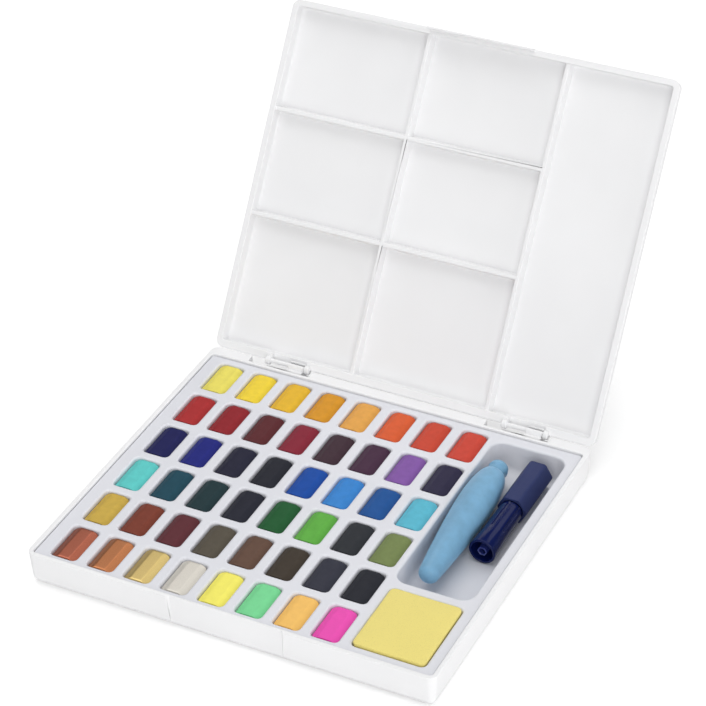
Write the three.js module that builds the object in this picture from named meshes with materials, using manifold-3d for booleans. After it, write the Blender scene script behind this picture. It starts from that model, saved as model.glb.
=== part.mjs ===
// A watercolour paint box: a hinged plastic case with a tray of 48 paint cakes, a sponge and a water brush in two pieces
import * as THREE from 'three';
import { mergeVertices } from 'three/addons/utils/BufferGeometryUtils.js';
import Module from 'manifold-3d';

const wasm = await Module();
wasm.setup();

// All lengths are millimetres. X runs to the right, Y to the hinge at the back, Z up.
// The origin is the middle of the case's underside.

// Driving sizes of the case
const caseWidth = 200;
const caseDepth = 173.5;
const baseHeight = 17.1;
const lidHeight = 8;
const cornerRadius = 4;
const lidOpenDegrees = 124;

// Clearances and cutting allowance
const partGap = 0.3;
const rimGap = 0.3;
const overrun = 1;

// Base shell
const baseWall = 2.2;
const baseFloor = 1.2;
const baseEdgeRadius = 4;
const baseDraft = 0.8;
const rearLedge = 6;
const ledgeTop = 2.5;
const ledgeRib = 1.4;
const thumbRecessShare = 0.275;
const thumbRecessDepth = 1.3;
const thumbRecessChamfer = 1.2;

// Lid shell, its mixing wells and its latch tongue; the shares are of the case's width and depth
const lidWall = 3.1;
const lidRearWall = 3.8;
const lidRoof = 1.8;
const lidEdgeRadius = 3.2;
const lidDraft = 0.5;
const lidFloorRadius = 1.2;
const ribHeight = 5.2;
const ribTopWidth = 1.9;
const ribDraft = 0.6;
const ribColumnShares = [0.366, 0.721];
const ribRowShares = [0.39, 0.69];
const tongueThickness = 1;
const tongueDrop = 5.5;
const tongueSideGap = 0.5;
const tongueRoot = 1.5;

// Hinges: two alike modules, each a base knuckle round a pin between two lid lugs
const hingeSpacingShare = 0.626;
const hingeSlotLength = 7.7;
const lugWidth = 2.4;
const lugRadius = 2.2;
const knuckleStart = 20.3;
const knuckleWidth = 8.2;
const hingeEndRoom = 1.4;
const knuckleRadius = 2.5;
const pinRadius = 1.1;
const pinClearance = 0.3;
const knuckleMouth = 1.7;
const troughDepth = 4.4;
const troughDrop = 3.2;
const slotExtraDrop = 3;
const stopReach = 4.6;
const stopTip = 1.1;
const stopFootDrop = 7;

// Pan tray: the shares of places are of the case's width and depth, those of a pan are of the pitch
const trayDrop = 1;
const trayGap = 0.4;
const deckThickness = 1.4;
const trayWall = 0.9;
const columnCount = 8;
const rowCount = 6;
const firstColumnShare = 0.079;
const columnPitchShare = 0.0925;
const firstRowShare = 0.094;
const rowPitchShare = 0.1568;
const panWidthShare = 0.72;
const panDepthShare = 0.82;
const panCornerShare = 0.16;
const panWellShare = 0.5;
const panDraft = 0.3;

// Bays for the water brush and the sponge, as shares of the case's width and depth
const brushBayLeftShare = 0.777;
const brushBayRightShare = 0.9625;
const brushBayFrontShare = 0.302;
const brushBayRearShare = 0.931;
const spongeBayLeftShare = 0.787;
const spongeBayRightShare = 0.961;
const spongeBayFrontShare = 0.039;
const spongeBayRearShare = 0.272;
const bayCornerRadius = 6;
const bayDraft = 0.5;
const bayFloorRadius = 3;
const fingerRampLength = 6;
const spongeCornerRadius = 2.4;

// Paint cakes
const cakeClearance = 0.25;
const cakeDrop = 0.35;
const cakeSideSlope = 3;
const cakeEndSlope = 1.6;
const cakeSlopeDrop = 1.1;
const cakeCrown = 0.1;

// Sponge
const spongeProud = 0.9;
const spongeEdge = 1.1;
const spongeDrawIn = 0.35;
const spongeCrown = 0.4;

// Water reservoir of the brush: a squeeze bottle with its open neck at the back, which lies a little askew.
// Its length is a share of the brush bay's length, and what lies across the bay is a share of the bay's width.
const reservoirFrontShare = 0.1;
const reservoirRearShare = 0.887;
const reservoirAxisShare = 0.2535;
const reservoirHalfWidthShare = 0.2264;
const reservoirHalfHeightShare = 0.24;
const reservoirStemShare = 0.13;
const reservoirNeckShare = 0.1186;
const reservoirStemLengthShare = 0.045;
const reservoirNeckLengthShare = 0.0765;
const reservoirWidestShare = 0.69;
const reservoirFullness = 0.45;
const reservoirWall = 0.9;
const reservoirLeanDegrees = 1.7;
const neckBeadHeight = 0.45;
// Pairs of place along the neck and rise of its bead
const neckProfile = [[0.45, 0], [0.55, 1], [0.75, 1], [0.85, 0], [1, 0]];

// Brush head and its six-sided cap: the section with its socket, the water feed and the bristles, as shares of the
// brush bay. They lie askew together.
const brushAxisShare = 0.6698;
const capFrontShare = 0.6657;
const capRearShare = 0.9434;
const sectionFrontShare = 0.3697;
const capFlatShare = 0.1752;
const capCornerShare = 0.198;
const sectionEndShare = 0.174;
const sectionGripShare = 0.157;
const sectionWaistShare = 0.148;
const sectionCollarShare = 0.4;
const socketLengthShare = 0.36;
const brushLeanDegrees = -0.6;
const capSides = 6;
const capWall = 1.1;
const capEndRadius = 1.2;
const capMouthChamfer = 0.5;
const fluteCount = 6;
const fluteTurnDegrees = 22.5;
const fluteDepth = 0.6;
const fluteWidthShare = 0.22;
const fluteRunOut = 0.7;
const noseLength = 5;
const noseTipRadius = 3.2;
const feedRadius = 2.5;
const feedBore = 1.5;
const feedLengthShare = 0.95;
const feedSides = 6;
const bristleRadius = 1.75;
const bristleLengthShare = 0.55;
const bristleSeat = 3;
// Pairs of place along the bristles and thickness of the bundle
const bristleProfile = [[0, 1], [0.2, 1], [0.4, 1.08], [0.65, 0.85], [0.85, 0.45], [1, 0.08]];

// How finely the round stretches are cut
const cornerSteps = 5;
const panCornerSteps = 3;
const edgeSteps = 4;
const bodySteps = 12;
const pinSides = 20;
const bottleSides = 24;
const brushSides = 48;

// The paints, row by row from the hinge to the front, each with its name and its colour
const paintRows = [
  [['lemon_yellow', 0xebdf68], ['cadmium_yellow', 0xf0d444], ['yellow_deep', 0xe6b93c], ['indian_yellow', 0xd89834],
    ['naples_apricot', 0xe4a855], ['cadmium_orange', 0xdb6238], ['vermilion', 0xcc4c3e], ['scarlet', 0xce4a3e]],
  [['cadmium_red', 0xae3638], ['crimson', 0x932c34], ['alizarin', 0x612f38], ['carmine', 0x8c2c3e],
    ['caput_mortuum', 0x45343c], ['purple_lake', 0x4c3348], ['violet', 0x845ca8], ['dioxazine_violet', 0x38344c]],
  [['indanthrene_blue', 0x2c2c5e], ['ultramarine', 0x2c3084], ['indigo', 0x303042], ['paynes_grey', 0x30313a],
    ['cobalt_blue', 0x264ea8], ['cerulean_blue', 0x4088d2], ['phthalo_blue', 0x2a569c], ['sky_blue', 0x5ebad2]],
  [['turquoise', 0x62cecb], ['petrol', 0x2a4e5c], ['sea_green', 0x2c3e42], ['blue_black', 0x30313c],
    ['hookers_green', 0x2a5e36], ['may_green', 0x62b046], ['perylene_green', 0x363840], ['olive_green', 0x7a8a54]],
  [['yellow_ochre', 0xccac4e], ['burnt_sienna', 0x804232], ['indian_red', 0x643438], ['raw_umber', 0x5c564a],
    ['burnt_umber', 0x694f42], ['sepia', 0x484036], ['warm_grey', 0x3d3e48], ['ivory_black', 0x323238]],
  [['metallic_copper', 0xa45c46], ['metallic_bronze', 0xb07048], ['metallic_gold', 0xccb070], ['metallic_pearl', 0xd8d3c8],
    ['neon_yellow', 0xf6ee68], ['neon_green', 0x7adc96], ['neon_orange', 0xf6c268], ['neon_pink', 0xee50b4]],
];
const metallicPrefix = 'metallic';

// Places worked out from the sizes above
const left = -caseWidth / 2;
const front = -caseDepth / 2;
const rear = caseDepth / 2;
const hingeHeight = baseHeight + rimGap / 2;
const trayTop = baseHeight - trayDrop;
const trayBottom = baseFloor + partGap;
const bayFloor = trayBottom + trayWall;
const lidOpenAngle = THREE.MathUtils.degToRad(lidOpenDegrees);

// Materials, one short function for each finish
const moulded = (color, roughness) => new THREE.MeshStandardMaterial({ color, roughness, metalness: 0 });
const whiteCase = () => moulded(0xf2f2f4, 0.4);
const greyTray = () => moulded(0xe2e2e8, 0.35);
const foam = () => moulded(0xead984, 0.95);
const blueBottle = () => new THREE.MeshStandardMaterial({
  color: 0x7db2d7, roughness: 0.3, metalness: 0, transparent: true, opacity: 0.75,
});
const navyCap = () => moulded(0x32376a, 0.55);
const navySection = () => moulded(0x1c2a66, 0.2);
const navyFeed = () => moulded(0x24306e, 0.3);
const bristleHair = () => moulded(0xe9e2cf, 0.7);
const mattePaint = (color) => moulded(color, 0.8);
const metallicPaint = (color) => new THREE.MeshStandardMaterial({ color, roughness: 0.35, metalness: 0.6 });

// Solid modelling helpers

// A closed geometry as a solid: vertices that share a place are merged first.
function toSolid(geometry) {
  const bare = geometry.clone();
  bare.deleteAttribute('normal');
  bare.deleteAttribute('uv');
  const merged = mergeVertices(bare);
  return new wasm.Manifold(new wasm.Mesh({
    numProp: 3,
    vertProperties: merged.attributes.position.array,
    triVerts: new Uint32Array(merged.index.array),
  }));
}

// A solid as a flat-shaded geometry.
function toGeometry(solid) {
  const mesh = solid.getMesh();
  const geometry = new THREE.BufferGeometry();
  geometry.setAttribute('position', new THREE.BufferAttribute(mesh.vertProperties, 3));
  geometry.setIndex(new THREE.BufferAttribute(mesh.triVerts, 1));
  const flat = geometry.toNonIndexed();
  flat.computeVertexNormals();
  return flat;
}

const join = (solids) => solids.reduce((whole, solid) => whole.add(solid));
const cut = (solid, tools) => tools.reduce((rest, tool) => rest.subtract(tool), solid);

// A box between two corners.
function block([x0, y0, z0], [x1, y1, z1]) {
  const geometry = new THREE.BoxGeometry(x1 - x0, y1 - y0, z1 - z0);
  geometry.translate((x0 + x1) / 2, (y0 + y1) / 2, (z0 + z1) / 2);
  return toSolid(geometry);
}

// A round bar along X between two ends.
function barAlongX(x0, x1, y, z, radius) {
  const geometry = new THREE.CylinderGeometry(radius, radius, x1 - x0, pinSides);
  geometry.rotateZ(Math.PI / 2);
  geometry.translate((x0 + x1) / 2, y, z);
  return toSolid(geometry);
}

// A prism along X whose section is drawn in Y and Z.
function prismAlongX(points, x0, x1) {
  const shape = new THREE.Shape(points.map(([y, z]) => new THREE.Vector2(y, z)));
  const geometry = new THREE.ExtrudeGeometry(shape, { depth: x1 - x0, bevelEnabled: false });
  const [x, y, z] = [new THREE.Vector3(1, 0, 0), new THREE.Vector3(0, 1, 0), new THREE.Vector3(0, 0, 1)];
  geometry.applyMatrix4(new THREE.Matrix4().makeBasis(y, z, x).setPosition(x0, 0, 0));
  return toSolid(geometry);
}

// A prism along Y, from its rear end forward, whose section is drawn in X and Z.
function prismAlongY(points, y0, y1) {
  const shape = new THREE.Shape(points.map(([x, z]) => new THREE.Vector2(x, z)));
  const geometry = new THREE.ExtrudeGeometry(shape, { depth: y1 - y0, bevelEnabled: false });
  const [x, y, z] = [new THREE.Vector3(1, 0, 0), new THREE.Vector3(0, -1, 0), new THREE.Vector3(0, 0, 1)];
  geometry.applyMatrix4(new THREE.Matrix4().makeBasis(x, z, y).setPosition(0, y1, 0));
  return toSolid(geometry);
}

// A prism along Z whose section is drawn in X and Y.
function prismAlongZ(points, z0, z1) {
  const shape = new THREE.Shape(points.map(([x, y]) => new THREE.Vector2(x, y)));
  const geometry = new THREE.ExtrudeGeometry(shape, { depth: z1 - z0, bevelEnabled: false });
  geometry.translate(0, 0, z0);
  return toSolid(geometry);
}

// A level rectangle with round corners, as a ring of points that runs anticlockwise seen from above.
function roundedRing({ x0, x1, y0, y1, z, radius, steps }) {
  const ring = [];
  const corners = [[x1, y0, -1], [x1, y1, 0], [x0, y1, 1], [x0, y0, 2]];
  for (const [x, y, quarter] of corners) {
    const centreX = x === x1 ? x1 - radius : x0 + radius;
    const centreY = y === y1 ? y1 - radius : y0 + radius;
    for (let i = 0; i <= steps; i++) {
      const angle = (quarter + i / steps) * Math.PI / 2;
      ring.push(new THREE.Vector3(centreX + radius * Math.cos(angle), centreY + radius * Math.sin(angle), z));
    }
  }
  return ring;
}

// A closed skin over rings of equal count. The first and the last ring are closed by a fan to their own middle,
// which a rise lifts into a crown.
function loft(rings, lastRise = 0) {
  const count = rings[0].length;
  const points = rings.flat();
  const middle = (ring, rise) => ring
    .reduce((sum, point) => sum.add(point), new THREE.Vector3())
    .divideScalar(ring.length)
    .add(new THREE.Vector3(0, 0, rise));
  points.push(middle(rings[0], 0), middle(rings[rings.length - 1], lastRise));
  const [firstMiddle, lastMiddle] = [points.length - 2, points.length - 1];
  const lastStart = (rings.length - 1) * count;
  const triangles = [];
  for (let i = 0; i < count; i++) {
    const next = (i + 1) % count;
    triangles.push(firstMiddle, next, i, lastMiddle, lastStart + i, lastStart + next);
    for (let r = 0; r < rings.length - 1; r++) {
      const [low, high] = [r * count, (r + 1) * count];
      triangles.push(low + i, low + next, high + next, low + i, high + next, high + i);
    }
  }
  const geometry = new THREE.BufferGeometry().setFromPoints(points);
  geometry.setIndex(triangles);
  return geometry;
}

// The arc of a rounded edge, as pairs of inset and height that go round a quarter circle.
function quarterEdge(radius, steps) {
  return Array.from({ length: steps + 1 }, (_, i) => {
    const angle = (i / steps) * Math.PI / 2;
    return [radius * (1 - Math.sin(angle)), radius * (1 - Math.cos(angle))];
  });
}

// A ring of the case's outline, inset all round and by another amount at the back.
function caseRing(inset, z, rearInset = inset) {
  return roundedRing({
    x0: left + inset,
    x1: -left - inset,
    y0: front + inset,
    y1: rear - rearInset,
    z,
    radius: Math.max(cornerRadius - inset, cornerRadius / 3),
    steps: cornerSteps,
  });
}

// Hinges

const hingeModuleLength = knuckleStart + knuckleWidth + partGap + lugWidth + hingeEndRoom;
const hingeSpacing = caseWidth * hingeSpacingShare;
const moduleStarts = [-1, 1].map((side) => (side * hingeSpacing - hingeModuleLength) / 2);
const lugPlaces = [hingeSlotLength, knuckleStart + knuckleWidth + partGap];

// The trough in the base's rear ledge in which the lid's lugs turn, deeper in its open slot.
function hingeTroughs() {
  const troughFloor = hingeHeight - troughDrop;
  return moduleStarts.flatMap((start) => [
    block(
      [start, rear - troughDepth, troughFloor],
      [start + hingeModuleLength, rear + overrun, hingeHeight + overrun],
    ),
    block(
      [start, rear - troughDepth, troughFloor - slotExtraDrop],
      [start + hingeSlotLength, rear + overrun, hingeHeight],
    ),
  ]);
}

// A base knuckle: a split barrel on a foot, whose sloping back is the stop for the open lid.
function baseKnuckle(start) {
  const [x0, x1] = [start + knuckleStart, start + knuckleStart + knuckleWidth];
  const [sine, cosine] = [Math.sin(lidOpenAngle), Math.cos(lidOpenAngle)];
  const stopPoint = (reach) => [
    rear + sine * reach + cosine * partGap,
    hingeHeight + cosine * reach - sine * partGap,
  ];
  const [tipY, tipZ] = stopPoint(stopReach);
  const footFront = rear - troughDepth - overrun;
  const foot = prismAlongX([
    [footFront, hingeHeight - troughDrop - overrun],
    [rear - overrun, hingeHeight - stopFootDrop],
    [rear, hingeHeight - stopFootDrop],
    [tipY, tipZ - stopTip],
    [tipY, tipZ],
    stopPoint(0),
    [footFront, baseHeight],
  ], x0, x1);
  const barrel = barAlongX(x0, x1, rear, hingeHeight, knuckleRadius);
  const bore = barAlongX(x0 - overrun, x1 + overrun, rear, hingeHeight, pinRadius + pinClearance);
  const mouth = block(
    [x0 - overrun, rear - knuckleMouth / 2, hingeHeight],
    [x1 + overrun, rear + knuckleMouth / 2, hingeHeight + knuckleRadius + overrun],
  );
  return cut(foot.add(barrel), [bore, mouth]);
}

// The notches in the lid's rear wall through which the knuckles stand up.
function lidNotches() {
  return moduleStarts.map((start) => block(
    [start + lugPlaces[0] + lugWidth, rear - lidRearWall - overrun, hingeHeight - overrun],
    [start + lugPlaces[1], rear + overrun, hingeHeight + knuckleRadius + partGap],
  ));
}

// The two lugs and the pin of one lid hinge.
function lidLugs(start) {
  const lugs = lugPlaces.map((place) => barAlongX(
    start + place,
    start + place + lugWidth,
    rear,
    hingeHeight,
    lugRadius,
  ));
  const [first, second] = lugPlaces;
  const pin = barAlongX(start + first + lugWidth / 2, start + second + lugWidth / 2, rear, hingeHeight, pinRadius);
  return join([...lugs, pin]);
}

// Base shell

// The shallow recess in the front wall where a thumb lifts the latch tongue.
const thumbRecessHalf = caseWidth * thumbRecessShare / 2;

function thumbRecess() {
  return prismAlongZ([
    [-thumbRecessHalf - thumbRecessChamfer, front - overrun],
    [thumbRecessHalf + thumbRecessChamfer, front - overrun],
    [thumbRecessHalf + thumbRecessChamfer, front],
    [thumbRecessHalf, front + thumbRecessDepth],
    [-thumbRecessHalf, front + thumbRecessDepth],
    [-thumbRecessHalf - thumbRecessChamfer, front],
  ], -overrun, baseHeight + overrun);
}

// Hollows in the underside of the rear ledge, beside and between the hinges.
function ledgeHollows() {
  const innerEnd = (hingeSpacing - hingeModuleLength) / 2 - baseWall;
  const outerStart = (hingeSpacing + hingeModuleLength) / 2 + baseWall;
  const outerEnd = caseWidth / 2 - cornerRadius - baseWall;
  return [[-outerEnd, -outerStart], [-innerEnd, innerEnd], [outerStart, outerEnd]].map(([x0, x1]) => block(
    [x0, rear - rearLedge + ledgeRib, -overrun],
    [x1, rear - baseWall, baseHeight - ledgeTop],
  ));
}

function baseShell() {
  const outside = quarterEdge(baseEdgeRadius, edgeSteps).map(([inset, z]) => caseRing(inset + baseDraft, z));
  const rings = [
    ...outside,
    caseRing(0, baseHeight),
    caseRing(baseWall, baseHeight, rearLedge),
    caseRing(baseWall, baseFloor, rearLedge),
  ];
  const shell = cut(toSolid(loft(rings)), [thumbRecess(), ...hingeTroughs(), ...ledgeHollows()]);
  return join([shell, ...moduleStarts.map(baseKnuckle)]);
}

// Lid shell, drawn shut

const lidRim = hingeHeight + rimGap / 2;
const lidTop = lidRim + lidHeight;
const lidInside = lidTop - lidRoof;
const ribColumns = ribColumnShares.map((share) => left + caseWidth * share);
const ribRows = ribRowShares.map((share) => rear - caseDepth * share);

// The section of a mixing rib: narrow at its free edge and wider at the roof.
function ribSection(centre) {
  const [top, foot] = [ribTopWidth / 2, ribTopWidth / 2 + ribDraft];
  return [
    [centre - top, lidInside - ribHeight],
    [centre + top, lidInside - ribHeight],
    [centre + foot, lidInside + lidRoof / 2],
    [centre - foot, lidInside + lidRoof / 2],
  ];
}

// Two ribs from front to back and two across the first two columns make the seven mixing wells.
function mixingRibs() {
  const columns = ribColumns.map((x) => prismAlongY(ribSection(x), front + lidWall / 2, rear - lidWall / 2));
  const rows = ribRows.map((y) => prismAlongX(ribSection(y), left + lidWall / 2, ribColumns[1]));
  return [...columns, ...rows];
}

// The latch tongue that hangs from the lid's front edge into the thumb recess.
function latchTongue() {
  const half = thumbRecessHalf - tongueSideGap;
  return block([-half, front, lidRim - tongueDrop], [half, front + tongueThickness, lidRim + tongueRoot]);
}

function lidShell() {
  const floorEdge = quarterEdge(lidFloorRadius, edgeSteps);
  const roofEdge = quarterEdge(lidEdgeRadius, edgeSteps).reverse();
  const rings = [
    ...floorEdge.map(([inset, drop]) => caseRing(lidWall + inset, lidInside - drop, lidRearWall + inset)),
    caseRing(lidWall, lidRim, lidRearWall),
    caseRing(0, lidRim),
    ...roofEdge.map(([inset, drop]) => caseRing(inset + lidDraft, lidTop - drop)),
  ];
  const shell = join([toSolid(loft(rings)), ...mixingRibs(), latchTongue()]);
  return join([cut(shell, lidNotches()), ...moduleStarts.map(lidLugs)]);
}

// Pan tray

const columnPitch = caseWidth * columnPitchShare;
const rowPitch = caseDepth * rowPitchShare;
const panWidth = columnPitch * panWidthShare;
const panDepth = rowPitch * panDepthShare;
const panWellDepth = baseHeight * panWellShare;
const trayInset = baseWall + trayGap;
const trayRearInset = rearLedge + trayGap;
const panX = (column) => left + caseWidth * firstColumnShare + column * columnPitch;
const panY = (row) => front + caseDepth * firstRowShare + (rowCount - 1 - row) * rowPitch;

// A ring of one pan's outline, inset from the opening, by another amount at its ends where that is given.
function panRing(column, row, inset, z, endInset = inset) {
  const radius = panWidth * panCornerShare;
  return roundedRing({
    x0: panX(column) - panWidth / 2 + inset,
    x1: panX(column) + panWidth / 2 - inset,
    y0: panY(row) - panDepth / 2 + endInset,
    y1: panY(row) + panDepth / 2 - endInset,
    z,
    radius: Math.max(radius - inset, radius / 3),
    steps: panCornerSteps,
  });
}

function eachPan(make) {
  const made = [];
  for (let row = 0; row < rowCount; row++) {
    for (let column = 0; column < columnCount; column++) made.push(make(column, row));
  }
  return made;
}

const panWell = (column, row) => toSolid(loft([
  panRing(column, row, panDraft, trayTop - panWellDepth),
  panRing(column, row, 0, trayTop + overrun),
]));

// The outside of one pan's cup, which hangs from the deck.
const panCup = (column, row) => block(
  [panX(column) - panWidth / 2 - trayWall, panY(row) - panDepth / 2 - trayWall, trayTop - panWellDepth - trayWall],
  [panX(column) + panWidth / 2 + trayWall, panY(row) + panDepth / 2 + trayWall, trayTop],
);

const bayRoom = (leftShare, rightShare, frontShare, rearShare) => ({
  x0: left + caseWidth * leftShare,
  x1: left + caseWidth * rightShare,
  y0: front + caseDepth * frontShare,
  y1: front + caseDepth * rearShare,
});
const brushRoom = bayRoom(brushBayLeftShare, brushBayRightShare, brushBayFrontShare, brushBayRearShare);
const spongeRoom = bayRoom(spongeBayLeftShare, spongeBayRightShare, spongeBayFrontShare, spongeBayRearShare);
const bayWidth = brushRoom.x1 - brushRoom.x0;
const bayLength = brushRoom.y1 - brushRoom.y0;

// A ring of a bay, inset all round and by another amount at the back.
function bayRing(room, radius, inset, z, rearInset = inset) {
  return roundedRing({
    x0: room.x0 + inset,
    x1: room.x1 - inset,
    y0: room.y0 + inset,
    y1: room.y1 - rearInset,
    z,
    radius: radius - inset / 2,
    steps: cornerSteps,
  });
}

// The brush bay: drawn sides, a round floor edge, and a back that runs up as a finger ramp.
function brushBay() {
  const ring = (inset, z, ramp) => bayRing(brushRoom, bayCornerRadius, inset, z, inset + ramp);
  const depth = trayTop - bayFloor;
  const floorEdge = quarterEdge(bayFloorRadius, edgeSteps);
  const rampAt = (height) => fingerRampLength * (1 - Math.sqrt(Math.min(height / depth, 1))) ** 2;
  return toSolid(loft([
    ...floorEdge.map(([inset, height]) => ring(inset + bayDraft, bayFloor + height, rampAt(height))),
    ...[0.5, 0.75].map((share) => ring(bayDraft * (1 - share), bayFloor + depth * share, rampAt(depth * share))),
    ring(0, trayTop, 0),
    ring(0, trayTop + overrun, 0),
  ]));
}

const spongeBay = () => toSolid(loft([
  bayRing(spongeRoom, spongeCornerRadius, 0, bayFloor),
  bayRing(spongeRoom, spongeCornerRadius, 0, trayTop + overrun),
]));

// The outside of a bay's box under the deck.
const bayBox = ({ x0, x1, y0, y1 }) => block(
  [x0 - trayWall, y0 - trayWall, trayBottom],
  [x1 + trayWall, y1 + trayWall, trayTop],
);

function panTray() {
  const slab = toSolid(loft([
    caseRing(trayInset, trayBottom, trayRearInset),
    caseRing(trayInset, trayTop, trayRearInset),
  ]));
  const underside = cut(
    toSolid(loft([
      caseRing(trayInset + trayWall, trayBottom - overrun, trayRearInset + trayWall),
      caseRing(trayInset + trayWall, trayTop - deckThickness, trayRearInset + trayWall),
    ])),
    [...eachPan(panCup), bayBox(brushRoom), bayBox(spongeRoom)],
  );
  return cut(slab, [underside, ...eachPan(panWell), brushBay(), spongeBay()]);
}

// Paint cakes: flat in the middle, with a wide slope down to each long side and a narrower one to each end

function paintCake(column, row) {
  const top = trayTop - cakeDrop - cakeCrown;
  const inset = cakeClearance + panDraft;
  return loft([
    panRing(column, row, inset, trayTop - panWellDepth + partGap),
    panRing(column, row, inset, top - cakeSlopeDrop),
    panRing(column, row, inset + cakeSideSlope, top, inset + cakeEndSlope),
  ], cakeCrown);
}

// Sponge: a foam block with soft edges, drawn-in sides and a low crown

function sponge() {
  const bottom = bayFloor + partGap;
  const thickness = trayTop + spongeProud - bottom;
  const radius = spongeCornerRadius + spongeEdge;
  const ring = (inset, height) => bayRing(spongeRoom, radius, partGap + inset, bottom + height);
  return loft([
    ring(spongeEdge, 0),
    ring(0, spongeEdge),
    ring(spongeDrawIn, thickness / 2),
    ring(0, thickness - spongeEdge),
    ring(spongeEdge / 3, thickness - spongeEdge / 3),
    ring(spongeEdge, thickness),
  ], spongeCrown);
}

// Round pieces that lie along Y

// A skin of rings round an axis along Y. Each station gives its place along Y, the radius across and the radius up.
function ovalSkin(stations, x, z, sides, spread = () => 1) {
  const rings = stations.map(({ y, across, up }) => Array.from({ length: sides }, (_, i) => {
    const angle = (i / sides) * Math.PI * 2;
    const share = spread(angle, y);
    return new THREE.Vector3(x + across * share * Math.cos(angle), y, z - up * share * Math.sin(angle));
  }));
  return loft(rings);
}

// Reservoir

const reservoirFront = brushRoom.y0 + bayLength * reservoirFrontShare;
const reservoirRear = brushRoom.y0 + bayLength * reservoirRearShare;
const reservoirLength = reservoirRear - reservoirFront;
const reservoirX = brushRoom.x0 + bayWidth * reservoirAxisShare;
const reservoirHalfWidth = bayWidth * reservoirHalfWidthShare;
const reservoirHalfHeight = bayWidth * reservoirHalfHeightShare;
const reservoirStem = bayWidth * reservoirStemShare;
const reservoirNeck = bayWidth * reservoirNeckShare;
const reservoirZ = bayFloor + partGap + reservoirHalfHeight;
const neckFront = reservoirRear - reservoirLength * reservoirNeckLengthShare;
const widestPower = Math.log(0.5) / Math.log(reservoirWidestShare);

// The reservoir's outline, shrunk by a wall for its inside: a round tip and a body that swells from the stem to the
// neck as a power of a sine, which is drawn to the back so that the body is widest at its share.
function reservoirStations(shrink) {
  const [stem, neck] = [reservoirStem - shrink, reservoirNeck - shrink];
  const bodyFront = reservoirFront + reservoirLength * reservoirStemLengthShare;
  const tip = Array.from({ length: edgeSteps }, (_, i) => {
    const angle = ((i + 1) / edgeSteps) * Math.PI / 2;
    const radius = stem * Math.sin(angle);
    return { y: reservoirFront + shrink + stem * (1 - Math.cos(angle)), across: radius, up: radius };
  });
  const swell = Array.from({ length: bodySteps + 1 }, (_, i) => {
    const share = i / bodySteps;
    const bulge = Math.max(Math.sin(Math.PI * share ** widestPower), 0) ** reservoirFullness;
    const round = THREE.MathUtils.lerp(stem, neck, share);
    return {
      y: THREE.MathUtils.lerp(bodyFront, neckFront, share),
      across: THREE.MathUtils.lerp(round, reservoirHalfWidth - shrink, bulge),
      up: THREE.MathUtils.lerp(round, reservoirHalfHeight - shrink, bulge),
    };
  });
  return [...tip, ...swell];
}

function reservoirBottle() {
  const neckLength = reservoirRear - neckFront;
  const neck = neckProfile.map(([share, rise]) => ({
    y: neckFront + neckLength * share,
    across: reservoirNeck + neckBeadHeight * rise,
    up: reservoirNeck + neckBeadHeight * rise,
  }));
  const bore = reservoirNeck - reservoirWall;
  const outside = ovalSkin([...reservoirStations(0), ...neck], reservoirX, reservoirZ, bottleSides);
  const inside = ovalSkin(
    [...reservoirStations(reservoirWall), { y: reservoirRear + overrun, across: bore, up: bore }],
    reservoirX,
    reservoirZ,
    bottleSides,
  );
  return toSolid(outside).subtract(toSolid(inside));
}

// Brush head and cap

const brushX = brushRoom.x0 + bayWidth * brushAxisShare;
const capFlat = bayWidth * capFlatShare;
const capCorner = bayWidth * capCornerShare;
const brushZ = bayFloor + partGap + capFlat;
const capFront = brushRoom.y0 + bayLength * capFrontShare;
const capRear = brushRoom.y0 + bayLength * capRearShare;
const sectionFront = brushRoom.y0 + bayLength * sectionFrontShare;
const sectionLength = capFront - sectionFront;
const socketFloor = sectionFront + sectionLength * socketLengthShare;
const socketRadius = reservoirNeck + neckBeadHeight + partGap;
const capBore = capFlat - capWall;
const noseEnd = capFront + noseLength;
const bristleRoot = noseEnd - bristleSeat;

// A turned piece along the brush's axis from pairs of place and radius.
function turned(profile, sides, spread) {
  const stations = profile.map(([y, radius]) => ({ y, across: radius, up: radius }));
  return toSolid(ovalSkin(stations, brushX, brushZ, sides, spread));
}

// Share of the corner radius at an angle of the cap: six flats, one of them on top, whose corners are rounded off.
function capShare(angle) {
  const side = 2 * Math.PI / capSides;
  const away = Math.abs(((angle - Math.PI / 2) / side) % 1);
  const fromFlat = Math.min(away, 1 - away) * side;
  return Math.min(1, capFlat / Math.cos(fromFlat) / capCorner);
}

function brushCap() {
  const outside = turned([
    [capFront, capCorner - capMouthChamfer],
    [capFront + capMouthChamfer, capCorner],
    ...quarterEdge(capEndRadius, edgeSteps).reverse().map(([inset, drop]) => [capRear - drop, capCorner - inset]),
  ], brushSides, capShare);
  const inside = turned([
    [capFront - overrun, capBore],
    [capRear - capWall - capEndRadius, capBore],
    [capRear - capWall, capBore - capEndRadius],
  ], brushSides);
  return outside.subtract(inside);
}

// Share of the radius that is left at an angle of the grip, which has narrow flutes.
function fluteShare(angle) {
  const turn = angle + THREE.MathUtils.degToRad(fluteTurnDegrees);
  const inFlute = Math.cos(fluteCount * turn) > Math.cos(Math.PI * fluteWidthShare);
  return inFlute ? 1 - fluteDepth / (bayWidth * sectionGripShare) : 1;
}

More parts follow.
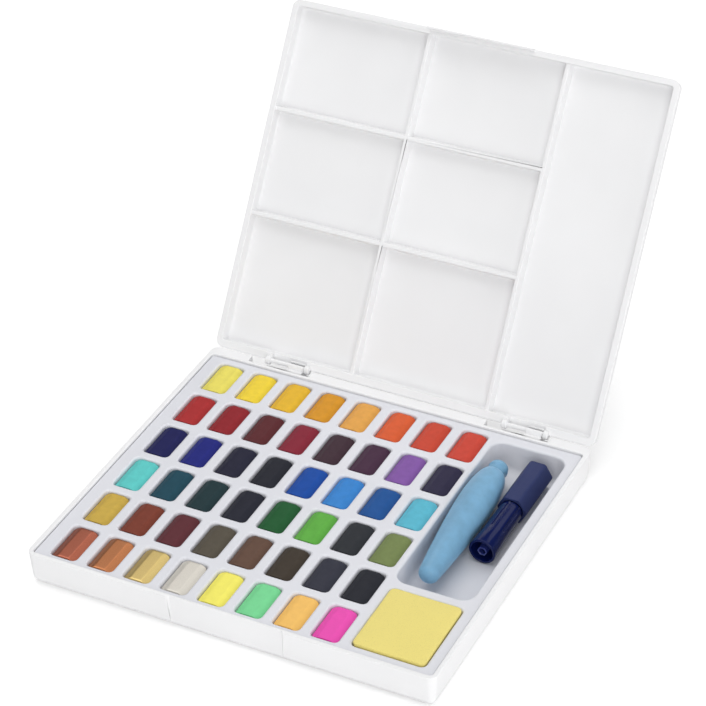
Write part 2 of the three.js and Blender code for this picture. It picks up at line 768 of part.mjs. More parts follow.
// The section narrows from its front end to the cap, with flutes let into its grip and a nose that fits the cap.
function brushSection() {
  const collarEnd = sectionFront + sectionLength * sectionCollarShare;
  const gripEnd = capFront - partGap;
  const [end, grip, waist] = [sectionEndShare, sectionGripShare, sectionWaistShare].map((share) => bayWidth * share);
  const body = turned([
    [sectionFront, end - capMouthChamfer],
    [sectionFront + capMouthChamfer, end],
    [collarEnd, grip],
    [collarEnd + fluteRunOut, grip],
    [gripEnd - fluteRunOut, waist],
    [gripEnd, waist],
    [gripEnd, capBore - partGap],
    [noseEnd - capMouthChamfer, noseTipRadius + capMouthChamfer],
    [noseEnd, noseTipRadius],
  ], brushSides, (angle, y) => (y > collarEnd && y < gripEnd ? fluteShare(angle) : 1));
  const socket = turned([[sectionFront - overrun, socketRadius], [socketFloor, socketRadius]], brushSides);
  const channel = turned([
    [socketFloor - overrun, feedBore],
    [bristleRoot, feedBore],
    [bristleRoot, bristleRadius + partGap],
    [noseEnd + overrun, bristleRadius + partGap],
  ], pinSides);
  return cut(body, [socket, channel]);
}

// The six-sided feed stands in the middle of the socket and has a water channel through it.
function brushFeed() {
  const foot = socketFloor - partGap;
  const tip = foot - (socketFloor - sectionFront) * feedLengthShare;
  const outside = turned([[tip, feedRadius], [foot, feedRadius]], feedSides);
  const channel = turned([[tip - overrun, feedBore], [foot + overrun, feedBore]], pinSides);
  return outside.subtract(channel);
}

// The bundle of bristles swells from its seat and comes to a point inside the cap.
function brushBristles() {
  const length = (capRear - capFront) * bristleLengthShare;
  return turned(bristleProfile.map(([reach, swell]) => [
    bristleRoot + partGap + reach * length,
    bristleRadius * swell,
  ]), pinSides);
}

// The scene graph

function mesh(name, shape, material) {
  const geometry = shape.isBufferGeometry ? shape : toGeometry(shape);
  const node = new THREE.Mesh(geometry, material);
  node.name = name;
  return node;
}

// A piece that is drawn in place and then turned about a point.
function turnedAbout(node, pivot, { x = 0, z = 0 }) {
  node.position.copy(pivot).negate();
  const turn = new THREE.Group();
  turn.position.copy(pivot);
  turn.rotation.set(x, 0, z);
  turn.add(node);
  return turn;
}

// The lid is drawn shut and turned open about its hinge.
function openLid() {
  const hinge = new THREE.Vector3(0, rear, hingeHeight);
  return turnedAbout(mesh('lid_shell', lidShell(), whiteCase()), hinge, { x: -lidOpenAngle });
}

// The reservoir is turned about its middle, and the brush head with its cap about the cap's middle.
function leaningReservoir() {
  const middle = new THREE.Vector3(reservoirX, (reservoirFront + reservoirRear) / 2, reservoirZ);
  const lean = THREE.MathUtils.degToRad(reservoirLeanDegrees);
  return turnedAbout(mesh('reservoir_bottle', reservoirBottle(), blueBottle()), middle, { z: lean });
}

function leaningBrush() {
  const middle = new THREE.Vector3(brushX, (capFront + capRear) / 2, brushZ);
  const lean = THREE.MathUtils.degToRad(brushLeanDegrees);
  return [
    mesh('brush_cap', brushCap(), navyCap()),
    mesh('brush_section', brushSection(), navySection()),
    mesh('brush_feed', brushFeed(), navyFeed()),
    mesh('brush_bristles', brushBristles(), bristleHair()),
  ].map((node) => turnedAbout(node, middle, { z: lean }));
}

function paintCakes() {
  return eachPan((column, row) => {
    const [paint, color] = paintRows[row][column];
    const material = paint.startsWith(metallicPrefix) ? metallicPaint(color) : mattePaint(color);
    return mesh(`paint_${paint}`, paintCake(column, row), material);
  });
}

const paintBox = new THREE.Group();
paintBox.name = 'watercolour_paint_box';
paintBox.add(
  mesh('base_shell', baseShell(), whiteCase()),
  openLid(),
  mesh('pan_tray', panTray(), greyTray()),
  ...paintCakes(),
  mesh('sponge', sponge(), foam()),
  leaningReservoir(),
  ...leaningBrush(),
);

export default paintBox;
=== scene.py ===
"""A watercolour paint box with 48 paint cakes, a sponge and a water brush, dressed round its CAD frame."""
import logging
import math
from abc import ABC, abstractmethod
from dataclasses import dataclass
from enum import Enum
from itertools import combinations

import bmesh
import bpy
import numpy as np
from bmesh.types import BMesh, BMVert
from bpy.types import ID, Material, Mesh, Node, NodeSocket, NodeTree, Object
from mathutils import Matrix, Vector
from mathutils.geometry import delaunay_2d_cdt


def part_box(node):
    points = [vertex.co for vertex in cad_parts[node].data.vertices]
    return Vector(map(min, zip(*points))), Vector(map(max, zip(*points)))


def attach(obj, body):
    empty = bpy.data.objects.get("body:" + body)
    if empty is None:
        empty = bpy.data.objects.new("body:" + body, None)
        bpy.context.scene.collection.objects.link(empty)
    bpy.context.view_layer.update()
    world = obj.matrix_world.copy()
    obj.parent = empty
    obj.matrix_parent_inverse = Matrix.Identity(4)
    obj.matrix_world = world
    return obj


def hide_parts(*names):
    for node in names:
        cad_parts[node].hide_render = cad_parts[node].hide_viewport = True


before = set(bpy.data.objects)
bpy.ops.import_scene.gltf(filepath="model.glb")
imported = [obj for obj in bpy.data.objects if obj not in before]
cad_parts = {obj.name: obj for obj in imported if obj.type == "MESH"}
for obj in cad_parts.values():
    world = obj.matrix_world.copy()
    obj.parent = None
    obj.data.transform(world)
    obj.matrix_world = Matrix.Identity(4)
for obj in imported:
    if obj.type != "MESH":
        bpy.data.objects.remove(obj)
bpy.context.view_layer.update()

MM = 0.001
QUARTER = math.pi / 2
WHITE = (1.0, 1.0, 1.0, 1.0)
Colour = tuple[float, float, float, float]
Value = NodeSocket | Colour | float
Rim = list[BMVert]
log = logging.getLogger("paint_box")


# Finishes
def linear(code: int) -> Colour:
    """Turns a display colour into the linear colour that a shader takes, by the sRGB curve.

    Args:
        code: the colour as 0xRRGGBB.
    Returns:
        Red, green, blue and an alpha of one.
    """
    parts = np.array([(code >> shift) & 255 for shift in (16, 8, 0)]) / 255
    values = np.where(parts <= 0.04045, parts / 12.92, ((parts + 0.055) / 1.055) ** 2.4)
    return (float(values[0]), float(values[1]), float(values[2]), 1.0)


def shade(colour: Colour, share: float) -> Colour:
    """Scales a linear colour and keeps its alpha."""
    return (min(colour[0] * share, 1), min(colour[1] * share, 1), min(colour[2] * share, 1), 1)


def fill(node: Node, *inputs: Value, **named: Value) -> None:
    """Joins a socket to each given input of a node, or sets the input's value.

    Args:
        node: the node.
        inputs: a socket or a value for each input in order.
        named: a socket or a value by the input's name, with an underscore for each space.
    """
    pairs = [*enumerate(inputs), *((key.replace("_", " "), value) for key, value in named.items())]
    for key, value in pairs:
        if isinstance(value, NodeSocket):
            node.id_data.links.new(value, node.inputs[key])
        else:
            node.inputs[key].default_value = value


def add_node(tree: NodeTree, kind: str, *inputs: Value, **named: object) -> Node:
    """Adds a shader node to a tree.

    Args:
        tree: the node tree.
        kind: the node's type.
        inputs: a socket or a value for each input in order.
        named: properties of the node, which have small letters only, and inputs by name.
    Returns:
        The new node.
    """
    node = tree.nodes.new("ShaderNode" + kind)
    for key in [key for key in named if key.islower()]:
        setattr(node, key, named.pop(key))
    fill(node, *inputs, **named)
    return node


class Recipe:
    """One procedural material that is put together node by node."""

    def __init__(self, name: str) -> None:
        """Starts a material with object coordinates, a principled shader and an output.

        Args:
            name: the material's name.
        """
        self.material = bpy.data.materials.new(name)
        self.material.use_nodes = True
        self.tree = self.material.node_tree
        self.tree.nodes.clear()
        self.place = add_node(self.tree, "TexCoord").outputs["Object"]
        self.shader = add_node(self.tree, "BsdfPrincipled")
        add_node(self.tree, "OutputMaterial", Surface=self.shader.outputs["BSDF"])

    def surface(self, **inputs: Value) -> None:
        """Fills inputs of the shader by name, with an underscore for each space."""
        fill(self.shader, **inputs)

    def noise(self, grain_mm: float, detail: float = 2, roughness: float = 0.5) -> NodeSocket:
        """Makes noise with grains of about the given size, octaves of finer noise and their strength."""
        return add_node(self.tree, "TexNoise", Vector=self.place, Scale=1 / (grain_mm * MM), Detail=detail,
                        Roughness=roughness).outputs["Fac"]

    def cells(self, grain_mm: float) -> Node:
        """Makes cells of about the given size and returns their node."""
        return add_node(self.tree, "TexVoronoi", Vector=self.place, Scale=1 / (grain_mm * MM))

    def spread(self, value: NodeSocket, low: float, high: float, start: float = 0.3,
               end: float = 0.7) -> NodeSocket:
        """Maps a value to low where it is start and to high where it is end, and clips it."""
        return add_node(self.tree, "MapRange", Value=value, From_Min=start, From_Max=end, To_Min=low,
                        To_Max=high).outputs["Result"]

    def blend(self, value: NodeSocket, first: NodeSocket | Colour, second: NodeSocket | Colour) -> NodeSocket:
        """Blends two colours by a value from 0 to 1."""
        return add_node(self.tree, "Mix", data_type="RGBA", Factor=value, A=first, B=second).outputs["Result"]

    def tones(self, value: NodeSocket, base: Colour, low: float, high: float) -> NodeSocket:
        """Blends from the low to the high share of one colour by a value from 0 to 1."""
        return self.blend(value, shade(base, low), shade(base, high))

    def compute(self, operation: str, *values: Value) -> NodeSocket:
        """Works out a number from sockets and numbers."""
        return add_node(self.tree, "Math", *values, operation=operation).outputs[0]

    def bump(self, height: NodeSocket, depth_mm: float, strength: float = 1.0,
             under: NodeSocket | None = None) -> NodeSocket:
        """Roughens the surface by a height.

        Args:
            height: the height's socket, from 0 to 1.
            depth_mm: how deep 0 lies under 1, in millimetres.
            strength: how much of it shows.
            under: a normal that this one builds on.
        Returns:
            The new normal's socket.
        """
        relief = add_node(self.tree, "Bump", Distance=depth_mm * MM, Strength=strength, Height=height)
        if under is not None:
            fill(relief, Normal=under)
        return relief.outputs["Normal"]


class Finish(ABC):
    """What a piece is made of."""

    def make(self, name: str) -> Material:
        """Builds the material.

        Args:
            name: the material's name.
        Returns:
            The new material.
        """
        recipe = Recipe(name)
        self.mix(recipe)
        return recipe.material

    @abstractmethod
    def mix(self, recipe: Recipe) -> None:
        """Puts the finish into an empty material."""


@dataclass(frozen=True)
class MouldedPlastic(Finish):
    """Injection-moulded plastic with the faint cloudiness and fine grain of its mould."""

    colour: int
    roughness: float
    roughness_change: float = 0.04
    cloud_mm: float = 45
    cloudiness: float = 0.015
    streak_share: float = 0.25
    grain_mm: float = 0.35
    grain_depth_mm: float = 0.004
    sink_mm: float = 28
    sink_depth_mm: float = 0.02
    refraction: float = 1.46
    gloss: float = 0.5
    coat: float = 0.0
    coat_roughness: float = 0.08

    def mix(self, recipe: Recipe) -> None:
        """Mixes clouds of colour, streaks of gloss and a fine grain over shallow sink marks.

        Args:
            recipe: the empty material.
        """
        cloud = recipe.spread(recipe.noise(self.cloud_mm), 0, 1)
        streak = recipe.noise(self.cloud_mm * self.streak_share, detail=3)
        low, high = self.roughness - self.roughness_change, self.roughness + self.roughness_change
        sink = recipe.bump(recipe.noise(self.sink_mm, detail=0), self.sink_depth_mm)
        recipe.surface(
            Base_Color=recipe.tones(cloud, linear(self.colour), 1 - self.cloudiness, 1 + self.cloudiness),
            Roughness=recipe.spread(streak, low, high),
            Normal=recipe.bump(recipe.noise(self.grain_mm, detail=1), self.grain_depth_mm, under=sink),
            IOR=self.refraction, Specular_IOR_Level=self.gloss, Coat_Weight=self.coat,
            Coat_Roughness=self.coat_roughness)


@dataclass(frozen=True)
class PigmentPaint(Finish):
    """Matte or neon paint, pressed into its pan, with grains, patches and shallow dents."""

    colour: int
    change: float = 0.1
    sheen: float = 0.008
    darkest: float = 0.001
    patch_mm: float = 3.2
    grain_mm: float = 0.18
    grain_share: float = 0.45
    patch_share: float = 0.55
    grain_depth_mm: float = 0.012
    grain_strength: float = 0.8
    dent_mm: float = 1.6
    dent_depth_mm: float = 0.03
    roughness: tuple[float, float] = (0.34, 0.44)
    gloss: float = 0.08

    def base(self) -> Colour:
        """Works out the linear colour less the light that the sheen adds to every colour."""
        red, green, blue = (max(part - self.sheen, self.darkest) for part in linear(self.colour)[:3])
        return (red, green, blue, 1.0)

    def press(self, recipe: Recipe, patch: NodeSocket, height: NodeSocket) -> None:
        """Gives the paint the gloss of its patches and the relief of its grains over its dents.

        Args:
            recipe: the material.
            patch: noise in large patches.
            height: the height of its grains.
        """
        dents = recipe.bump(recipe.noise(self.dent_mm), self.dent_depth_mm)
        recipe.surface(
            Roughness=recipe.spread(patch, *self.roughness), Specular_IOR_Level=self.gloss,
            Normal=recipe.bump(height, self.grain_depth_mm, self.grain_strength, under=dents))

    def mix(self, recipe: Recipe) -> None:
        """Mixes paint whose tone follows both its grains and its patches.

        Args:
            recipe: the empty material.
        """
        patch = recipe.noise(self.patch_mm, detail=3)
        grain = recipe.noise(self.grain_mm, roughness=0.6)
        lift = recipe.spread(patch, 0, self.patch_share)
        both = recipe.compute("MULTIPLY_ADD", grain, self.grain_share, lift)
        recipe.surface(Base_Color=recipe.tones(both, self.base(), 1 - self.change, 1 + self.change))
        self.press(recipe, patch, grain)


@dataclass(frozen=True)
class FlakePaint(PigmentPaint):
    """Metallic or pearl paint: its grains are small flakes with painted glints, and its colour has a painted
    highlight, lighter where it faces the eye.
    """

    metal: float = 0.45
    # painted highlight and painted shade: tone shares for paint turned away from the eye and for paint that
    # faces it, the second lighter
    away: tuple[float, float] = (0.72, 0.96)
    towards: tuple[float, float] = (1.45, 1.85)
    painted_highlight_facing: tuple[float, float] = (0.29, 0.41)
    dimmest: float = 0.25
    grain_mm: float = 0.12
    grain_depth_mm: float = 0.008
    grain_strength: float = 0.6
    dent_mm: float = 1.4
    roughness: tuple[float, float] = (0.3, 0.4)
    gloss: float = 0.3

    def mix(self, recipe: Recipe) -> None:
        """Mixes paint whose flakes have two sets of tones, a painted highlight and painted shade: darker
        where they turn away from the eye and lighter where they face it.

        Args:
            recipe: the empty material.
        """
        flake = recipe.cells(self.grain_mm)
        # painted glint: each flake gets its own lighter or darker tone
        painted_glint = recipe.spread(flake.outputs["Color"], 0, 1, self.dimmest, 1)
        # painted highlight: the colour is lighter where the paint faces the eye and darker where it turns
        # away
        turned = add_node(recipe.tree, "LayerWeight").outputs["Facing"]
        tones = [recipe.tones(painted_glint, self.base(), *shares) for shares in (self.away, self.towards)]
        recipe.surface(Base_Color=recipe.blend(recipe.spread(turned, 1, 0, *self.painted_highlight_facing), *tones),
                       Metallic=self.metal)
        self.press(recipe, recipe.noise(self.patch_mm, detail=3), flake.outputs["Distance"])


class PaintKind(Enum):
    """What a paint is made with."""

    MATTE = "matte"
    METALLIC = "metallic"
    PEARL = "pearl"
    NEON = "neon"

    @classmethod
    def of(cls, name: str) -> "PaintKind":
        """Tells a paint's kind from its name, in which pearl comes last and any other kind first.

        Args:
            name: the paint's name.
        Returns:
            Its kind.
        """
        words = name.split("_")
        if words[-1] == cls.PEARL.value:
            return cls.PEARL
        return cls(words[0]) if words[0] in (cls.METALLIC.value, cls.NEON.value) else cls.MATTE

    def finish(self, colour: int) -> Finish:
        """Gives the finish of this kind of paint in a colour."""
        return {
            PaintKind.MATTE: PigmentPaint(colour),
            PaintKind.NEON: PigmentPaint(colour, change=0.05),
            # Metallic and pearl paints carry painted glints and a painted highlight where they face the eye.
            PaintKind.METALLIC: FlakePaint(colour),
            PaintKind.PEARL: FlakePaint(colour, metal=0.2, away=(0.84, 1.07), towards=(1.08, 1.24)),
        }[self]


@dataclass(frozen=True)
class FoamFinish(Finish):
    """Open-celled cellulose foam with small and large pores, which are darkened by painted shade."""

    colour: int
    pore_mm: float = 0.55
    pore_range: tuple[float, float] = (0.05, 0.45)
    large_pore_mm: float = 2.1
    large_pore_range: tuple[float, float] = (0.02, 0.16)
    pore_depth_mm: float = 0.09
    pore_strength: float = 0.8
    painted_pore_shade_share: float = 0.7
    tones: tuple[float, float] = (0.84, 1.02)
    cloud_mm: float = 7
    roughness: tuple[float, float] = (0.88, 0.96)

    def mix(self, recipe: Recipe) -> None:
        """Mixes foam that is lower in its pores, with painted shade that darkens them.

        Args:
            recipe: the empty material.
        """
        pores = ((self.pore_mm, self.pore_range), (self.large_pore_mm, self.large_pore_range))
        height = recipe.compute("MULTIPLY", *(
            recipe.spread(recipe.cells(size).outputs["Distance"], 0, 1, *reach) for size, reach in pores))
        recipe.surface(
            # painted shade: the colour is darker where the pores are deep
            Base_Color=recipe.tones(
                recipe.spread(height, 0, 1, 0, self.painted_pore_shade_share), linear(self.colour), *self.tones),
            Roughness=recipe.spread(recipe.noise(self.cloud_mm, detail=3), *self.roughness),
            Normal=recipe.bump(height, self.pore_depth_mm, self.pore_strength),
            Sheen_Weight=0.15, Sheen_Roughness=0.6, Specular_IOR_Level=0.2)


@dataclass(frozen=True)
class ClearPlastic(Finish):
    """Soft milky plastic that lets some light through, with a painted sheen: its colour is lighter at the
    edges that turn away from the eye.
    """

    colour: int
    clearness: float = 0.2
    milk_mm: float = 7
    milk_tones: tuple[float, float] = (0.88, 1.08)
    edge_blend: float = 0.35
    edge_range: tuple[float, float] = (0.35, 1)
    painted_sheen_share: float = 0.55
    painted_sheen_tone: float = 1.45
    patch_mm: float = 3
    roughness: tuple[float, float] = (0.28, 0.4)
    dent_mm: float = 2.5
    dent_depth_mm: float = 0.02
    dent_strength: float = 0.5

    def mix(self, recipe: Recipe) -> None:
        """Mixes clouds of milk and a painted sheen, lighter at the edges that turn away from the eye.

        Args:
            recipe: the empty material.
        """
        base = linear(self.colour)
        milk = recipe.spread(recipe.noise(self.milk_mm, detail=4, roughness=0.6), 0, 1)
        # painted sheen: the colour turns lighter where the surface turns away from the eye
        turned = add_node(recipe.tree, "LayerWeight", Blend=self.edge_blend).outputs["Facing"]
        edge = recipe.spread(turned, 0, self.painted_sheen_share, *self.edge_range)
        clouds = recipe.tones(milk, base, *self.milk_tones)
        recipe.surface(
            Base_Color=recipe.blend(edge, clouds, shade(base, self.painted_sheen_tone)),
            Roughness=recipe.spread(recipe.noise(self.patch_mm), *self.roughness),
            Normal=recipe.bump(recipe.noise(self.dent_mm), self.dent_depth_mm, self.dent_strength),
            Transmission_Weight=self.clearness, IOR=1.45, Specular_IOR_Level=0.35)


@dataclass(frozen=True)
class HairFinish(Finish):
    """Fine synthetic hair, lighter strand by strand."""

    colour: int
    strand_mm: float = 0.25
    tones: tuple[float, float] = (0.8, 1.05)
    roughness: tuple[float, float] = (0.35, 0.5)

    def mix(self, recipe: Recipe) -> None:
        """Mixes light and dark strands.

        Args:
            recipe: the empty material.
        """
        strand = recipe.noise(self.strand_mm)
        recipe.surface(
            Base_Color=recipe.tones(recipe.spread(strand, 0, 1), linear(self.colour), *self.tones),
            Roughness=recipe.spread(strand, *self.roughness), Sheen_Weight=0.2)


# Mesh tools
def show(name: str, data: ID) -> Object:
    """Puts a mesh, a camera or a lamp into the scene.

    Args:
        name: the new object's name.
        data: what it shows.
    Returns:
        The new object, at the origin.
    """
    made = bpy.data.objects.new(name, data)
    bpy.context.scene.collection.objects.link(made)
    return made


def placed(name: str, mesh: Mesh, sharp_degrees: float) -> Object:
    """Puts a mesh into the scene, smooth but for its sharp edges.

    Args:
        name: the piece's name.
        mesh: its mesh.
        sharp_degrees: edges that turn by more than this stay sharp.
    Returns:
        The new piece.
    """
    mesh.polygons.foreach_set("use_smooth", np.ones(len(mesh.polygons), bool))
    mesh.set_sharp_from_angle(angle=math.radians(sharp_degrees))
    mesh.update()
    return show(name, mesh)


def dress(piece: Object, body: str, node: str, finish: Finish, slot: str) -> None:
    """Gives a piece its finish, puts it on its body and lets it stand for its CAD node.

    Args:
        piece: the new object.
        body: the body that it rides on.
        node: the CAD node that it replaces.
        finish: what it is made of.
        slot: the name of its material.
    """
    piece.data.materials.append(finish.make(slot))
    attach(piece, body)
    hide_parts(node)
    log.info("%s: %d faces", piece.name, len(piece.data.polygons))


def smooth_step(share: np.ndarray) -> np.ndarray:
    """Eases from 0 to 1: three times the square less twice the cube of the clipped share."""
    share = np.clip(share, 0, 1)
    return share * share * (3 - 2 * share)


def quarter(steps: int, start: float = 0) -> np.ndarray:
    """Walks the angles of a quarter circle in even steps, from the start to its end."""
    return np.linspace(start, QUARTER, steps)


def tube_quads(start: np.ndarray, step: np.ndarray, around: int) -> np.ndarray:
    """Numbers the quads that lead from rings of points to the rings that follow them.

    Args:
        start: number of each ring's first point.
        step: number of the first point of the ring that follows.
        around: points in a ring.
    Returns:
        Rows of four point numbers, ring by ring.
    """
    column = np.arange(around)
    beside = (column + 1) % around
    low, high = start[..., None], step[..., None]
    return np.stack([low + column, low + beside, high + beside, high + column], axis=-1).reshape(-1, 4)


def skin(name: str, rings: np.ndarray, loop: bool = False, sharp_degrees: float = 50) -> Object:
    """Makes a closed skin over rings of points, whose quads run from each ring to the next.

    Args:
        name: the piece's name.
        rings: points in metres as rings by points by three, each ring closed on itself.
        loop: the last ring joins the first; otherwise each end is closed by a fan to its middle.
        sharp_degrees: edges that turn by more than this stay sharp.
    Returns:
        The new object, smooth shaded and in the scene.
    """
    count, around = rings.shape[:2]
    points = rings.reshape(-1, 3)
    row = np.arange(count if loop else count - 1)
    faces = tube_quads(row * around, (row + 1) % count * around, around).tolist()
    if not loop:
        points = np.vstack([points, rings[0].mean(0), rings[-1].mean(0)])
        ring = np.arange(around)
        following = (ring + 1) % around
        last = (count - 1) * around
        faces += np.stack([np.full(around, count * around), following, ring], axis=-1).tolist()
        top = np.full(around, count * around + 1)
        faces += np.stack([top, last + ring, last + following], axis=-1).tolist()
    mesh = bpy.data.meshes.new(name)
    mesh.from_pydata(points.tolist(), [], faces)
    return placed(name, mesh, sharp_degrees)


@dataclass(frozen=True)
class Spindle:
    """A line along Y about which a piece is turned; it leans about its pivot, seen from above."""

    x_mm: float
    z_mm: float
    pivot_mm: float
    lean_degrees: float

    def place(self, across: np.ndarray, along: np.ndarray, up: np.ndarray) -> np.ndarray:
        """Puts points on the leaning line.

        The way across and the way along from the pivot are turned by the lean, with its cosine and sine.

        Args:
            across: distances to the right of the line, in millimetres.
            along: places along Y, in millimetres.
            up: heights over the line, in millimetres.
        Returns:
            The points in metres.
        """
        lean = math.radians(self.lean_degrees)
        away = along - self.pivot_mm
        return np.stack([
            self.x_mm + across * math.cos(lean) - away * math.sin(lean),
            self.pivot_mm + across * math.sin(lean) + away * math.cos(lean),
            self.z_mm + up,
        ], axis=-1) * MM


def lathe(name: str, spindle: Spindle, profile: np.ndarray, sides: int, loop: bool = False,
          share: np.ndarray | None = None, sharp_degrees: float = 50) -> Object:
    """Turns a profile about a spindle: a point is the radius by the cosine and sine of its angle.

    Args:
        name: the piece's name.
        spindle: the line that the piece is turned about.
        profile: rows of place along Y, radius across and, where it differs, radius up, in millimetres.
        sides: how many points go round.
        loop: the profile is closed on itself, as for a tube.
        share: rows by sides of what is left of the radius at each angle, for flats and flutes.
        sharp_degrees: edges that turn by more than this stay sharp.
    Returns:
        The turned piece.
    """
    angle = np.arange(sides) * 2 * math.pi / sides
    left = np.ones((len(profile), sides)) if share is None else share
    along, across, up = profile[:, 0, None], profile[:, 1, None], profile[:, -1, None]
    rings = spindle.place(
        across * left * np.cos(angle), np.broadcast_to(along, left.shape), -up * left * np.sin(angle))
    return skin(name, rings, loop, sharp_degrees)


def outline(half: np.ndarray, radius: float, count: int, corner_points: int = 17) -> np.ndarray:
    """Walks a rounded rectangle at an even pace, anticlockwise from its front right corner.

    Args:
        half: half its width and half its length.
        radius: its corner radius.
        count: how many points.
        corner_points: points of each corner's arc before the even pace.
    Returns:
        Points as rows of X and Y.
    """
    turn = quarter(corner_points)
    corner = np.arange(4)[:, None] * QUARTER - QUARTER
    side_x = np.array([1, 1, -1, -1])[:, None] * (half[0] - radius)
    side_y = np.array([-1, 1, 1, -1])[:, None] * (half[1] - radius)
    x = (side_x + radius * np.cos(corner + turn)).ravel()
    y = (side_y + radius * np.sin(corner + turn)).ravel()
    x, y = np.append(x, x[0]), np.append(y, y[0])
    walked = np.concatenate([[0], np.cumsum(np.hypot(np.diff(x), np.diff(y)))])
    pace = np.linspace(0, walked[-1], count, endpoint=False)
    return np.column_stack([np.interp(pace, walked, x), np.interp(pace, walked, y)])


@dataclass(frozen=True)
class Room:
    """The room of a CAD node: its lowest and highest corner, in metres."""

    low: Vector
    high: Vector

    @classmethod
    def of(cls, node: str) -> "Room":
        """Reads the room of a CAD node by its name."""
        return cls(*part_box(node))

    @property
    def centre(self) -> Vector:
        """The middle of the room."""
        return (self.low + self.high) / 2

    @property
    def size(self) -> Vector:
        """The lengths of the room's sides."""
        return self.high - self.low

    @property
    def half(self) -> np.ndarray:
        """Half the room's width and half its length."""
        return np.array(self.size)[:2] / 2

    def centred(self, rings: np.ndarray) -> np.ndarray:
        """Moves rings that were drawn round the origin to the room's middle, seen from above."""
        return rings + np.array([self.centre.x, self.centre.y, 0])


# Camera and studio
@dataclass(frozen=True)
class Viewpoint:
    """The photograph's camera: front right of the box and above it, in metres and degrees."""

    place: tuple[float, float, float] = (0.455617, -0.827806, 0.773408)
    azimuth: float = 26.689
    elevation: float = 35.409
    roll: float = 1.427
    lens: float = 136.08
    sensor: float = 36
    shift: tuple[float, float] = (-0.0518, -0.0124)
    clip: tuple[float, float] = (0.05, 30)

    def make(self) -> None:
        """Makes the camera the scene's own."""
        azimuth, elevation, roll = (math.radians(a) for a in (self.azimuth, self.elevation, self.roll))
        level = math.cos(elevation)
        back = Vector((math.sin(azimuth) * level, -math.cos(azimuth) * level, math.sin(elevation)))
        right = Vector((math.cos(azimuth), math.sin(azimuth), 0))
        up = back.cross(right)
        turned_right = right * math.cos(roll) - up * math.sin(roll)
        turned_up = up * math.cos(roll) + right * math.sin(roll)
        data = bpy.data.cameras.new("view")
        data.lens, data.sensor_width = self.lens, self.sensor
        data.shift_x, data.shift_y = self.shift
        data.clip_start, data.clip_end = self.clip
        camera = show("view", data)
        camera.matrix_world = Matrix.Translation(Vector(self.place)) @ Matrix(
            (turned_right, turned_up, back)).transposed().to_4x4()
        bpy.context.scene.camera = camera


@dataclass(frozen=True)
class Lamp:
    """One large soft lamp that is aimed at the box."""

    name: str
    place: tuple[float, float, float]
    size: float
    watts: float
    aim: tuple[float, float, float] = (0, 0, 0.03)

    def make(self) -> None:
        """Hangs the lamp."""
        data = bpy.data.lights.new(self.name, "AREA")
        data.size, data.energy = self.size, self.watts
        lamp = show(self.name, data)
        lamp.location = self.place
        lamp.rotation_mode = "QUATERNION"
        lamp.rotation_quaternion = (Vector(self.aim) - Vector(self.place)).to_track_quat("-Z", "Y")


@dataclass(frozen=True)
class Studio:
    """A white floor, a soft white surround and large lamps."""

    floor_size: float = 12
    floor_drop: float = 0.0003
    floor_tone: float = 0.92
    floor_lift: float = 0.26
    surround: float = 0.42
    mirrored: float = 0.12
    seeing: tuple[str, str] = ("Is Camera Ray", "Is Transmission Ray")
    lamps: tuple[Lamp, ...] = (
        Lamp("key", (-0.75, 0.6, 1.7), 1.1, 9),
        Lamp("fill", (0.9, -1.9, 0.75), 1.6, 20),
        Lamp("side", (1.9, 0.1, 0.5), 1.2, 9),
        Lamp("rear", (0.55, 1.5, 1.25), 0.8, 2),
        Lamp("top", (0.1, -0.15, 1.9), 1.0, 7.2),
    )

    def make(self) -> None:
        """Lays the floor, lights the surround and hangs the lamps."""
        bpy.context.scene.view_settings.view_transform = "Standard"
        self.light_surround()
        self.lay_floor()
        for lamp in self.lamps:
            lamp.make()

    def light_surround(self) -> None:
        """Lights the world softly, dimmer in reflections and white to the rays that see it."""
        world = bpy.data.worlds.new("surround")
        world.use_nodes = True
        bpy.context.scene.world = world
        tree = world.node_tree
        tree.nodes.clear()
        shown = add_node(tree, "Background", Color=WHITE, Strength=self.surround).outputs[0]
        for strength, rays in ((self.mirrored, ("Is Glossy Ray",)), (1, self.seeing)):
            light = add_node(tree, "Background", Color=WHITE, Strength=strength).outputs[0]
            shown = add_node(tree, "MixShader", self.among(tree, rays), shown, light).outputs[0]
        add_node(tree, "OutputWorld", Surface=shown)

    @staticmethod
    def among(tree: NodeTree, rays: tuple[str, ...]) -> NodeSocket:
        """Tells rays of the given kinds from all others.

        Args:
            tree: the node tree that gets the nodes.
            rays: names of the light path's outputs.
        Returns:
            A socket that is one for rays of these kinds.
        """
        path = add_node(tree, "LightPath")
        total = path.outputs[rays[0]]
        for name in rays[1:]:
            total = add_node(tree, "Math", total, path.outputs[name], operation="MAXIMUM").outputs[0]
        return total

    def lay_floor(self) -> None:
        """Lays a white floor that keeps the object's shadow."""
        half = self.floor_size / 2
        corners = [(x * half, y * half, -self.floor_drop) for x, y in ((-1, -1), (1, -1), (1, 1), (-1, 1))]
        mesh = bpy.data.meshes.new("floor")
        mesh.from_pydata(corners, [], [[0, 1, 2, 3]])
        recipe = Recipe("floor_white")
        lift = recipe.compute("MULTIPLY", self.among(recipe.tree, self.seeing), self.floor_lift)
        recipe.surface(Base_Color=shade(WHITE, self.floor_tone), Roughness=0.9, Specular_IOR_Level=0.1,
                       Emission_Color=WHITE, Emission_Strength=lift)
        mesh.materials.append(recipe.material)
        show("floor", mesh)


